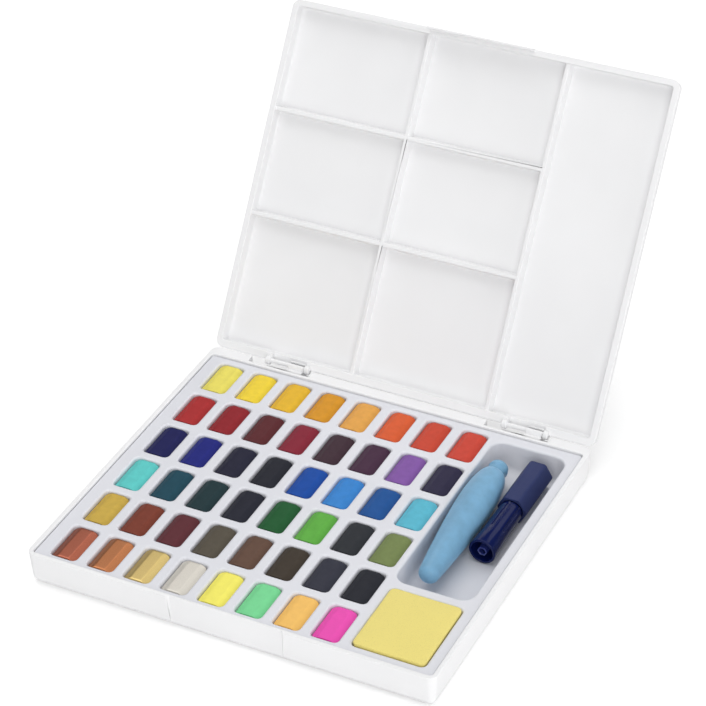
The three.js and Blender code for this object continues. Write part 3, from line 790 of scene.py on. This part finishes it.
# The case
@dataclass
class MouldedShell:
    """A shell of the case: a merged copy of its CAD node with softened edges."""

    node: str
    body: str
    slot: str
    finish: MouldedPlastic
    weld_mm: float = 0.002
    edge_mm: float = 0.3
    edge_steps: int = 2
    edge_degrees: float = 32
    narrow_degrees: float = 15
    level_weight: int = 90

    def merged(self) -> BMesh:
        """Copies the CAD node's mesh and merges its doubled points.

        Returns:
            The merged mesh.
        """
        work = bmesh.new()
        work.from_mesh(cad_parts[self.node].data)
        bmesh.ops.remove_doubles(work, verts=work.verts, dist=self.weld_mm * MM)
        return work

    def choose_edges(self, work: BMesh) -> None:
        """Gives the sharp edges their bevel weight.

        Two sharp edges that leave a point at a narrow angle stay as they are, because a round would shoot
        past the point.

        Args:
            work: the merged mesh.
        """
        weight = work.edges.layers.float.new("bevel_weight_edge")
        sharp = {edge for edge in work.edges if edge.calc_face_angle(0) > math.radians(self.edge_degrees)}
        narrow = set()
        for vert in work.verts:
            ends = [(edge, (edge.other_vert(vert).co - vert.co).normalized())
                    for edge in vert.link_edges if edge in sharp]
            for (one, way), (other, other_way) in combinations(ends, 2):
                if way.dot(other_way) > math.cos(math.radians(self.narrow_degrees)):
                    narrow |= {one, other}
        for edge in sharp - narrow:
            edge[weight] = 1

    def soften(self, shell: Object) -> None:
        """Bevels the shell's chosen edges.

        Args:
            shell: the copy of the CAD node.
        """
        bevel = shell.modifiers.new("soft_edges", "BEVEL")
        bevel.width, bevel.segments = self.edge_mm * MM, self.edge_steps
        bevel.limit_method = "WEIGHT"
        bevel.use_clamp_overlap = False
        bevel.loop_slide = False

    def level(self, shell: Object) -> None:
        """Weights the shell's normals by face size: its large faces stay level up to their rounded edges."""
        weighted = shell.modifiers.new("level_faces", "WEIGHTED_NORMAL")
        weighted.mode, weighted.weight, weighted.keep_sharp = "FACE_AREA", self.level_weight, True

    def make(self) -> None:
        """Builds, softens and dresses the shell."""
        mesh = bpy.data.meshes.new(self.node + "_soft")
        work = self.merged()
        self.choose_edges(work)
        work.to_mesh(mesh)
        work.free()
        shell = placed(self.node + "_soft", mesh, self.edge_degrees)
        self.soften(shell)
        self.level(shell)
        dress(shell, self.body, self.node, self.finish, self.slot)


@dataclass
class PanTray(MouldedShell):
    """The tray, whose deck rolls over a round rim into each well and each bay."""

    rim_mm: float = 1.1
    outer_rim_mm: float = 0.35
    rim_steps: int = 5
    near_mm: float = 0.01
    flat_share: float = 0.9999
    fill_gap_mm: float = 0.0001

    def merged(self) -> BMesh:
        """Copies the tray and builds its deck anew between round rims.

        The flat top faces go, each edge that they leave open is followed round, and a quarter circle of rings
        leads from the lowered wall to the deck. The deck between the last rings is filled again.

        Returns:
            The tray's mesh with its round rims.
        """
        work = super().merged()
        deck = max(vert.co.z for vert in work.verts)
        low = deck - self.near_mm * MM
        top = [face for face in work.faces if min(vert.co.z for vert in face.verts) > low]
        bmesh.ops.delete(work, geom=top, context="FACES_ONLY")
        rims = self.open_rims(work)
        widest = max(rims, key=self.girth)
        rings = []
        for rim in rims:
            radius = self.outer_rim_mm if rim is widest else self.rim_mm
            rings.append(self.roll(work, rim, radius * MM))
        self.fill(work, rings, rings[rims.index(widest)])
        return work

    def soften(self, shell: Object) -> None:
        """Shades the deck flat, so that its round rims meet it level.

        Args:
            shell: the tray with its round rims.
        """
        mesh = shell.data
        deck = max(vert.co.z for vert in mesh.vertices)
        for face in mesh.polygons:
            if face.normal.z > self.flat_share and face.center.z > deck - self.near_mm * MM:
                face.use_smooth = False

    @staticmethod
    def girth(rim: Rim) -> float:
        """Measures the way round a rim."""
        return sum((rim[number].co - rim[number - 1].co).length for number in range(len(rim)))

    @staticmethod
    def open_rims(work: BMesh) -> list[Rim]:
        """Follows the open edges of a mesh.

        Args:
            work: the mesh.
        Returns:
            Each closed rim as its points, in the order in which the walls run along it.
        """
        following = {edge.link_loops[0].vert: edge.link_loops[0].link_loop_next.vert
                     for edge in work.edges if edge.is_boundary}
        rims = []
        while following:
            start, vert = following.popitem()
            rim = [start]
            while vert is not start:
                rim.append(vert)
                vert = following.pop(vert)
            rims.append(rim)
        return rims

    def roll(self, work: BMesh, rim: Rim, radius: float) -> Rim:
        """Rolls one rim over: a quarter circle from the wall, which ends lower, to the deck.

        A point moves into the deck along the sum of its two edges' normals over one plus their product, which
        keeps straight sides straight.

        Args:
            work: the mesh that gets the rings.
            rim: the rim's points.
            radius: the rim's radius in metres.
        Returns:
            The points of the last ring, on the deck.
        """
        place = np.array([vert.co for vert in rim])
        along = np.roll(place, -1, 0)[:, :2] - place[:, :2]
        along /= np.linalg.norm(along, axis=1, keepdims=True)
        after = np.column_stack([along[:, 1], -along[:, 0]])
        before = np.roll(after, 1, 0)
        into = (after + before) / (1 + (after * before).sum(1, keepdims=True))
        ring = rim
        for vert in rim:
            vert.co.z -= radius
        for turn in quarter(self.rim_steps + 1)[1:]:
            moved = place.copy()
            moved[:, :2] += into * radius * (1 - math.cos(turn))
            moved[:, 2] -= radius * (1 - math.sin(turn))
            following = [work.verts.new(point) for point in moved]
            for this in range(len(ring)):
                other = (this + 1) % len(ring)
                work.faces.new((ring[other], ring[this], following[this], following[other])).smooth = True
            ring = following
        return ring

    def fill(self, work: BMesh, rings: list[Rim], outer: Rim) -> None:
        """Fills the deck between the rings with triangles.

        Args:
            work: the mesh.
            rings: the last ring of every rim.
            outer: the ring round the whole deck; the others are round holes.
        """
        verts = [vert for ring in rings for vert in ring]
        owner = [number for number, ring in enumerate(rings) for _ in ring]
        edges = []
        for ring in rings:
            start = len(edges)
            edges += [(start + i, start + (i + 1) % len(ring)) for i in range(len(ring))]
        flat = [Vector(vert.co[:2]) for vert in verts]
        hole = {number for number, ring in enumerate(rings) if ring is not outer}
        triangles = delaunay_2d_cdt(flat, edges, [], 0, self.fill_gap_mm * MM)[2]
        for corners in triangles:
            owners = {owner[corner] for corner in corners}
            if len(owners) > 1 or not owners & hole:
                face = work.faces.new([verts[corner] for corner in corners])
                face.smooth = False


# The paints
@dataclass
class PaintCakes:
    """The 48 pressed cakes: flat in the middle, sloping to their long sides, with rounded rims."""

    colours: dict[str, int]
    corner_mm: float = 1.7
    rim_mm: float = 0.3
    slope_mm: float = 3.3
    drop_mm: float = 1.5
    bend: float = 1.12
    end_slope_mm: float = 0.9
    end_drop_mm: float = 0.12
    end_bend: float = 2
    around: int = 96
    shares: tuple[float, ...] = (
        0, 0.03, 0.07, 0.12, 0.18, 0.26, 0.34, 0.42, 0.5, 0.56, 0.64, 0.76, 0.9, 0.985)
    rim_steps: int = 4
    sharp_degrees: float = 70

    def rings(self, room: Room) -> np.ndarray:
        """Works out one cake: its outline is carried up the wall, round the rim and in over the top.

        Each ring slides from the outline towards the cake's middle line.

        Args:
            room: the room of the CAD cake.
        Returns:
            The rings in metres.
        """
        half = room.half
        edge = outline(half, self.corner_mm * MM, self.around)
        middle = np.clip(edge[:, 1], half[0] - half[1], half[1] - half[0])
        inward = np.column_stack([np.zeros(self.around), middle]) - edge
        rim = self.rim_mm * MM
        inset = rim + np.array(self.shares)[:, None] * (half[0] - rim)
        cover = edge[None] + inward[None] * (inset / half[0])[..., None]
        top = self.top(cover, half) + room.high.z
        covers = np.dstack([cover, top[..., None]])
        turn = quarter(self.rim_steps + 1)[:-1, None]
        round_in = rim * (1 - np.cos(turn))
        wall = edge[None] + inward[None] * (round_in / half[0])[..., None]
        rims = np.dstack([wall, (top[0] - rim + rim * np.sin(turn))[..., None]])
        foot = np.column_stack([edge, np.full(self.around, room.low.z)])[None]
        return room.centred(np.concatenate([foot, rims, covers]))

    def top(self, points: np.ndarray, half: np.ndarray) -> np.ndarray:
        """Says how far the top lies under its crown at each point.

        That is the drop by a power of how far the point is down the slope to its long side, and a small drop
        by a power of how far it is down the slope to its end.

        Args:
            points: places on the cake as X and Y.
            half: half the cake's width and half its length.
        Returns:
            The negative height of each point, in metres.
        """
        down = np.clip(1 - (half[0] - np.abs(points[..., 0])) / (self.slope_mm * MM), 0, 1)
        end = np.clip(1 - (half[1] - np.abs(points[..., 1])) / (self.end_slope_mm * MM), 0, 1)
        return -(self.drop_mm * down ** self.bend + self.end_drop_mm * end ** self.end_bend) * MM

    def make(self) -> None:
        """Builds and dresses every cake."""
        for name, colour in self.colours.items():
            node = "paint_" + name
            cake = skin("cake_" + name, self.rings(Room.of(node)), sharp_degrees=self.sharp_degrees)
            dress(cake, "case", node, PaintKind.of(name).finish(colour), node)


# The sponge
@dataclass
class Sponge:
    """A foam block with soft edges, drawn-in sides and a low crown; each wave is a count, phase and share."""

    corner_mm: float = 2.4
    edge_mm: float = 0.8
    edge_steps: int = 6
    draw_in_mm: float = 0.35
    wall_steps: int = 9
    crown_mm: float = 0.5
    crown_bend: float = 2.5
    crown_reach: float = 0.97
    crown_steps: int = 14
    waver_mm: float = 0.12
    waver_middle: float = 0.5
    waves: tuple[tuple[float, float, float], ...] = ((5, 1, 0.3), (11, 0, 0.18))
    around: int = 120
    sharp_degrees: float = 80
    finish: FoamFinish = FoamFinish(0xEADA7E)

    def rings(self, room: Room) -> np.ndarray:
        """Works out the block: an outline that goes round a soft edge, up a waist and over a low dome.

        Args:
            room: the room of the CAD sponge.
        Returns:
            The rings in metres.
        """
        edge, crown = self.edge_mm * MM, self.crown_mm * MM
        outer = outline(room.half, self.corner_mm * MM, self.around)
        outward = outer / np.linalg.norm(outer, axis=1, keepdims=True)
        low, high = room.low.z, room.high.z - crown
        turn = quarter(self.edge_steps)
        up = np.linspace(0, 1, self.wall_steps)[1:-1]
        inset = np.concatenate([
            edge * (1 - np.sin(turn)),
            self.draw_in_mm * MM * np.sin(math.pi * up),
            edge * (1 - np.cos(turn)),
        ])
        height = np.concatenate([
            low + edge * (1 - np.cos(turn)),
            low + edge + (high - low - 2 * edge) * up,
            high - edge + edge * np.sin(turn),
        ])
        angle = np.arctan2(outer[:, 1], outer[:, 0])
        wave = sum(share * np.sin(count * angle + phase) for count, phase, share in self.waves)
        waver = self.waver_mm * MM * (self.waver_middle + wave)
        walls = outer[None] - outward[None] * (inset[:, None] + waver[None])[..., None]
        sides = np.dstack([walls, np.broadcast_to(height[:, None, None], walls.shape[:2] + (1,))])
        share = np.linspace(0, self.crown_reach, self.crown_steps)[1:][:, None, None]
        tops = sides[-1][None, :, :2] * (1 - share)
        dome = high + crown * (1 - (1 - share) ** self.crown_bend)
        tops = np.concatenate([tops, np.broadcast_to(dome, tops.shape[:2] + (1,))], axis=2)
        return room.centred(np.concatenate([sides, tops]))

    def make(self) -> None:
        """Builds and dresses the sponge."""
        sponge = skin("foam_sponge", self.rings(Room.of("sponge")), sharp_degrees=self.sharp_degrees)
        dress(sponge, "sponge_block", "sponge", self.finish, "sponge_yellow")


# The water brush
BRUSH = Spindle(80.25, 9.2, 53.45, -0.6)
BOTTLE = Spindle(64.805, 11.604, 19.503, 1.7)


@dataclass
class Reservoir:
    """The squeeze bottle: a round tip, a belly that is widest to the rear, and an open neck with a bead."""

    front_mm: float = -23.44
    rear_mm: float = 62.447
    wide_mm: float = 8.39
    high_mm: float = 8.89
    stem_mm: float = 4.82
    neck_mm: float = 4.4
    tip_mm: float = 3.8
    tip_start: float = 0.12
    tip_steps: int = 10
    neck_length_mm: float = 6.57
    neck_shares: tuple[float, float] = (0.08, 0.94)
    neck_steps: int = 18
    widest_share: float = 0.69
    fullness: float = 0.45
    wall_mm: float = 0.9
    bead_mm: float = 0.45
    bead_share: float = 0.65
    bead_width: float = 0.14
    lip_start: float = 0.2
    lip_steps: int = 7
    sides: int = 72
    body_steps: int = 56
    finish: ClearPlastic = ClearPlastic(0x84B8DA)

    def shape(self, shrink: float) -> np.ndarray:
        """Works out the bottle from tip to neck: a round tip, then a belly between stem and neck.

        The belly rises by a power of the sine of pi times a power of the share, so that it is widest at its
        share.

        Args:
            shrink: how far the shape lies inside, in millimetres.
        Returns:
            Rows of place, radius across and radius up.
        """
        stem, neck = self.stem_mm - shrink, self.neck_mm - shrink
        turn = quarter(self.tip_steps, self.tip_start)
        across = stem * np.sin(turn)
        tip = np.column_stack([
            self.front_mm + shrink + (self.tip_mm - shrink) * (1 - np.cos(turn)), across, across])
        share = np.linspace(0, 1, self.body_steps)
        start, stop = self.front_mm + self.tip_mm, self.rear_mm - self.neck_length_mm
        power = math.log(0.5) / math.log(self.widest_share)
        bulge = np.sin(math.pi * share ** power).clip(0) ** self.fullness
        straight = stem + (neck - stem) * share
        belly = np.column_stack([
            start + (stop - start) * share,
            straight + (self.wide_mm - shrink - straight) * bulge,
            straight + (self.high_mm - shrink - straight) * bulge,
        ])
        return np.vstack([tip, belly[1:]])

    def neck(self) -> np.ndarray:
        """Works out the neck outside: a straight spout with one round bead and a rounded lip.

        Returns:
            Rows of place, radius across and radius up.
        """
        share = np.linspace(*self.neck_shares, self.neck_steps)
        bead = self.bead_mm * np.exp(-(((share - self.bead_share) / self.bead_width) ** 2))
        lip = self.wall_mm / 2
        turn = np.linspace(self.lip_start, math.pi - self.lip_start, self.lip_steps)
        place = [self.rear_mm - self.neck_length_mm * (1 - share), self.rear_mm - lip + lip * np.sin(turn)]
        radius = np.concatenate([self.neck_mm + bead, self.neck_mm - lip + lip * np.cos(turn)])
        return np.column_stack([np.concatenate(place), radius, radius])

    def make(self) -> None:
        """Builds and dresses the reservoir."""
        profile = np.vstack([self.shape(0), self.neck(), self.shape(self.wall_mm)[::-1]])
        bottle = lathe("squeeze_bottle", BOTTLE, profile, self.sides, sharp_degrees=60)
        dress(bottle, "reservoir", "reservoir_bottle", self.finish, "bottle_blue")


@dataclass
class BrushCap:
    """The matt six-sided cap with soft edges, a closed end and an open mouth."""

    front_mm: float = 38.296
    rear_mm: float = 68.605
    flat_mm: float = 6.49
    corner_round_mm: float = 1.7
    wall_mm: float = 1.1
    end_round_mm: float = 0.9
    mouth_round_mm: float = 0.35
    pole_mm: float = 0.002
    round_steps: int = 7
    flats: int = 6
    sides: int = 192
    finish: MouldedPlastic = MouldedPlastic(
        0x2A3462, 0.5, cloudiness=0.05, grain_mm=0.25, grain_depth_mm=0.01, cloud_mm=9, gloss=0.3)

    def spread(self) -> np.ndarray:
        """Works out the outline as radius over the flat's distance at each angle.

        A flat gives its distance over the cosine of the angle from its middle. A corner is an arc with its
        middle on the corner's line: the cosine's share of that distance plus the root of what the sine
        leaves.

        Returns:
            One number for each side.
        """
        angle = np.arange(self.sides) * 2 * math.pi / self.sides - QUARTER
        half_side = math.pi / self.flats
        from_flat = np.abs(np.mod(angle + half_side, 2 * half_side) - half_side)
        from_corner = half_side - from_flat
        straight = self.flat_mm - self.corner_round_mm
        middle = straight / math.cos(half_side)
        reach = np.sqrt(np.maximum(self.corner_round_mm ** 2 - (middle * np.sin(from_corner)) ** 2, 0))
        corner = middle * np.cos(from_corner) + reach
        flat = self.flat_mm / np.cos(from_flat)
        on_flat = np.tan(from_flat) * self.flat_mm <= straight * math.tan(half_side)
        return np.where(on_flat, flat, corner) / self.flat_mm

    def make(self) -> None:
        """Builds and dresses the cap."""
        bore = self.flat_mm - self.wall_mm
        turn = quarter(self.round_steps)[:, None]
        cos, sin = np.cos(turn), np.sin(turn)
        mouth, end = self.mouth_round_mm, self.end_round_mm
        inner_end = self.rear_mm - self.wall_mm
        outside = np.vstack([
            np.hstack([self.front_mm + mouth * (1 - cos), self.flat_mm - mouth * (1 - sin)]),
            np.hstack([self.rear_mm - end + end * sin, self.flat_mm - end * (1 - cos)]),
            [[self.rear_mm, self.pole_mm]],
        ])
        inside = np.vstack([
            [[inner_end, self.pole_mm]],
            np.hstack([inner_end - end + end * cos, bore - end * (1 - sin)]),
            [[self.front_mm + mouth, bore], [self.front_mm, bore + mouth / 2]],
        ])
        share = np.vstack([np.tile(self.spread(), (len(outside), 1)), np.ones((len(inside), self.sides))])
        cap = lathe("matt_cap", BRUSH, np.vstack([outside, inside]), self.sides, loop=True, share=share,
                    sharp_degrees=60)
        dress(cap, "cap", "brush_cap", self.finish, "cap_navy")


@dataclass
class BrushSection:
    """The glossy section: a collar with a deep socket, a fluted grip and a nose that holds the hair."""

    front_mm: float = 5.993
    grip_end_mm: float = 37.996
    nose_end_mm: float = 43.296
    end_mm: float = 6.45
    collar_mm: float = 18.914
    grip_mm: float = 5.825
    waist_mm: float = 5.49
    step_mm: float = 0.2
    nose_mm: float = 5.1
    nose_tip_mm: float = 3.2
    socket_mm: float = 5.15
    socket_floor_mm: float = 17.622
    socket_edge_mm: float = 0.3
    hair_bore_mm: float = 2.05
    hair_seat_mm: float = 40.296
    channel_mm: float = 1.5
    edge_mm: float = 0.5
    edge_steps: int = 6
    grip_gaps_mm: tuple[float, float] = (0.02, 0.3)
    grip_steps: int = 34
    nose_steps: int = 8
    flutes: int = 6
    flute_turn_degrees: float = 22.5
    flute_mm: float = 0.6
    flute_share: float = 0.24
    flute_blend: float = 0.3
    flute_fades_mm: tuple[float, float] = (0.4, 0.6)
    sides: int = 216
    finish: MouldedPlastic = MouldedPlastic(
        0x0C184C, 0.12, cloudiness=0.03, grain_depth_mm=0.0015, sink_depth_mm=0.01, cloud_mm=12, gloss=0.3)

    def rows(self) -> np.ndarray:
        """Walks the outline from its front rim over the grip and the nose and back through its bores.

        Returns:
            Rows of place and radius.
        """
        edge, notch = self.edge_mm, self.socket_edge_mm
        turn = quarter(self.edge_steps)
        ends = [self.collar_mm, self.grip_end_mm]
        grip = np.linspace(ends[0] + self.grip_gaps_mm[0], ends[1] - self.grip_gaps_mm[1], self.grip_steps)
        nose = np.linspace(self.grip_end_mm, self.nose_end_mm - edge, self.nose_steps)
        return np.array([
            *zip(self.front_mm + edge * (1 - np.cos(turn)), self.end_mm - edge * (1 - np.sin(turn))),
            (self.collar_mm, self.grip_mm),
            *zip(grip, np.interp(grip, ends, [self.grip_mm, self.waist_mm])),
            (self.grip_end_mm, self.waist_mm - self.step_mm),
            *zip(nose, np.interp(nose, [ends[1], self.nose_end_mm], [self.nose_mm, self.nose_tip_mm])),
            (self.nose_end_mm, self.nose_tip_mm),
            (self.nose_end_mm, self.hair_bore_mm),
            (self.hair_seat_mm, self.hair_bore_mm),
            (self.hair_seat_mm, self.channel_mm),
            (self.socket_floor_mm, self.channel_mm),
            (self.socket_floor_mm, self.socket_mm - notch),
            (self.socket_floor_mm - notch, self.socket_mm),
            (self.front_mm + edge, self.socket_mm),
            (self.front_mm, self.socket_mm + edge / 2),
        ])

    def left(self, profile: np.ndarray) -> np.ndarray:
        """Works out what the flutes leave of the grip's radius.

        Each flute is a trough: its depth by an eased wave of the angle, faded in and out at its two ends.

        Args:
            profile: the section's outline as rows of place and radius.
        Returns:
            One share for each row and side.
        """
        angle = -np.arange(self.sides) * 2 * math.pi / self.sides + math.radians(self.flute_turn_degrees)
        rise = np.cos(self.flutes * angle) - math.cos(math.pi * self.flute_share)
        wave = smooth_step(rise / self.flute_blend + 0.5)
        place = profile[:, 0]
        fade_in, fade_out = self.flute_fades_mm
        along = smooth_step((place - self.collar_mm) / fade_in)
        along *= smooth_step((self.grip_end_mm - place) / fade_out)
        outer = (profile[:, 1] > self.nose_tip_mm) & (place >= self.collar_mm) & (place <= self.grip_end_mm)
        return 1 - (self.flute_mm / self.grip_mm) * wave[None] * (along * outer)[:, None]

    def make(self) -> None:
        """Builds and dresses the section."""
        rows = self.rows()
        section = lathe("fluted_section", BRUSH, rows, self.sides, loop=True, share=self.left(rows),
                        sharp_degrees=45)
        dress(section, "brush_head", "brush_section", self.finish, "section_navy")


@dataclass
class WaterFeed:
    """The six-sided feed with its channel and rounded rims."""

    tip_mm: float = 6.276
    foot_mm: float = 17.32
    radius_mm: float = 2.5
    channel_mm: float = 1.5
    edge_mm: float = 0.25
    edge_steps: int = 5
    sides: int = 6
    steps: int = 6
    finish: MouldedPlastic = MouldedPlastic(
        0x2A3478, 0.25, cloudiness=0.03, grain_depth_mm=0.0015, sink_depth_mm=0.005, cloud_mm=6, coat=0.4)

    def make(self) -> None:
        """Builds and dresses the feed.

        Its outside is a hexagon: the radius by the cosine of half a side's angle over the cosine of the angle
        from the side's middle.
        """
        edge = self.edge_mm
        count = self.sides * self.steps * 2
        turn = quarter(self.edge_steps)[:, None]
        profile = np.vstack([
            np.hstack([self.tip_mm + edge * (1 - np.cos(turn)), self.radius_mm - edge * (1 - np.sin(turn))]),
            [[self.foot_mm, self.radius_mm]],
            [[self.foot_mm, self.channel_mm]],
            [[self.tip_mm + edge, self.channel_mm]],
            [[self.tip_mm, self.channel_mm + edge]],
        ])
        angle = np.arange(count) * 2 * math.pi / count
        half_side = math.pi / self.sides
        away = np.mod(angle, 2 * half_side) - half_side
        hexagon = math.cos(half_side) / np.cos(away)
        outside = profile[:, 1] > (self.radius_mm + self.channel_mm) / 2
        share = np.where(outside[:, None], hexagon[None], 1.0)
        feed = lathe("hex_feed", BRUSH, profile, count, loop=True, share=share, sharp_degrees=28)
        dress(feed, "brush_head", "brush_feed", self.finish, "feed_navy")


@dataclass
class HairTuft:
    """The brush hair: strands that leave the seat side by side and close to a point."""

    strands: int = 260
    strand_mm: float = 0.13
    strand_sides: int = 3
    steps: int = 9
    seed: int = 7
    shorter: float = 0.1
    thinner: float = 0.75
    swell: tuple[tuple[float, float], ...] = (
        (0, 0.9), (0.2, 0.92), (0.4, 0.96), (0.65, 0.76), (0.85, 0.4), (1, 0.05))
    finish: HairFinish = HairFinish(0xE9E2CF)

    def lines(self, room: Room) -> np.ndarray:
        """Works out the middle line of each strand.

        A strand stands on a disc at the golden angle, and its distance from the axis follows the tuft's
        swelling outline, so that all strands meet near the tip.

        Args:
            room: the room of the CAD tuft.
        Returns:
            Points in metres as strands by steps by three.
        """
        number = np.arange(self.strands)
        reach = np.sqrt((number + 0.5) / self.strands)
        golden = number * math.pi * (3 - math.sqrt(5))
        shuffle = np.random.default_rng(self.seed).uniform(0, 1, self.strands)
        length = room.size.y * (1 - self.shorter * reach * shuffle)
        share = np.linspace(0, 1, self.steps)
        swell = np.interp(share, *zip(*self.swell))
        away = (room.size.x / 2 - self.strand_mm * MM) * reach[:, None] * swell[None]
        return np.stack([
            room.centre.x + away * np.cos(golden)[:, None],
            room.low.y + length[:, None] * share[None],
            room.centre.z + away * np.sin(golden)[:, None],
        ], axis=-1)

    def make(self) -> None:
        """Builds and dresses the tuft, whose strands are thin tubes that taper by the square of the share."""
        corner = np.arange(self.strand_sides)
        turn = corner * 2 * math.pi / self.strand_sides
        thick = self.strand_mm * MM * (1 - self.thinner * np.linspace(0, 1, self.steps) ** 2)
        ring = np.stack([np.cos(turn), np.zeros(self.strand_sides), -np.sin(turn)], axis=-1)
        points = self.lines(Room.of("brush_bristles"))[:, :, None, :] + thick[None, :, None, None] * ring
        first = np.arange(self.strands)[:, None] * self.steps * self.strand_sides
        start = first + np.arange(self.steps - 1) * self.strand_sides
        quads = tube_quads(start, start + self.strand_sides, self.strand_sides)
        last = first + (self.steps - 1) * self.strand_sides
        ends = np.concatenate([first + corner[::-1], last + corner])
        mesh = bpy.data.meshes.new("hair_tuft")
        mesh.from_pydata(points.reshape(-1, 3).tolist(), [], quads.tolist() + ends.tolist())
        tuft = placed("hair_tuft", mesh, sharp_degrees=130)
        dress(tuft, "brush_head", "brush_bristles", self.finish, "bristle_white")


# The whole box
PAINT_COLOURS = {
    "lemon_yellow": 0xEBDE6B, "cadmium_yellow": 0xF0D347, "yellow_deep": 0xE5B73D, "indian_yellow": 0xD69635,
    "naples_apricot": 0xE3A656, "cadmium_orange": 0xD9633E, "vermilion": 0xC9503F, "scarlet": 0xCB4F42,
    "cadmium_red": 0xAC3B3C, "crimson": 0x933338, "alizarin": 0x623538, "carmine": 0x893340,
    "caput_mortuum": 0x493840, "purple_lake": 0x4E3749, "violet": 0x865EA5, "dioxazine_violet": 0x39364B,
    "indanthrene_blue": 0x2E2F5B, "ultramarine": 0x30347E, "indigo": 0x333342, "paynes_grey": 0x33343B,
    "cobalt_blue": 0x2A52A3, "cerulean_blue": 0x4387CE, "phthalo_blue": 0x2E5998, "sky_blue": 0x62B9CF,
    "turquoise": 0x65CBC7, "petrol": 0x2E4F5D, "sea_green": 0x2F4044, "blue_black": 0x33343D,
    "hookers_green": 0x2F5F3B, "may_green": 0x65AE4D, "perylene_green": 0x393B3F, "olive_green": 0x7A8858,
    "yellow_ochre": 0xC9AA52, "burnt_sienna": 0x7F4539, "indian_red": 0x64393E, "raw_umber": 0x5D574D,
    "burnt_umber": 0x695247, "sepia": 0x49423B, "warm_grey": 0x3F404A, "ivory_black": 0x34353B,
    "metallic_copper": 0xA25E4A, "metallic_bronze": 0xAF724C, "metallic_gold": 0xCBB173,
    "metallic_pearl": 0xD8D3C9, "neon_yellow": 0xF5EC6F, "neon_green": 0x7ED899, "neon_orange": 0xF4C26D,
    "neon_pink": 0xEC58B4,
}


@dataclass
class PaintBox:
    """The whole paint box: its case, its paints, its sponge and its water brush."""

    case_white: MouldedPlastic = MouldedPlastic(0xF1F1F2, 0.36)
    tray_grey: MouldedPlastic = MouldedPlastic(0xDFE0E6, 0.32)
    lid_edge_mm: float = 0.35

    def make(self) -> None:
        """Builds every piece in order."""
        for part in (
            MouldedShell("base_shell", "case", "case_white", self.case_white),
            MouldedShell("lid_shell", "lid", "case_white", self.case_white, edge_mm=self.lid_edge_mm),
            PanTray("pan_tray", "case", "tray_grey", self.tray_grey),
            PaintCakes(PAINT_COLOURS), Sponge(),
            Reservoir(), BrushCap(), BrushSection(), WaterFeed(), HairTuft(),
        ):
            part.make()


def main() -> None:
    """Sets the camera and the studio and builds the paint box."""
    logging.basicConfig(level=logging.INFO, format="%(name)s %(message)s")
    Viewpoint().make()
    Studio().make()
    PaintBox().make()


if __name__ == "__main__":
    main()
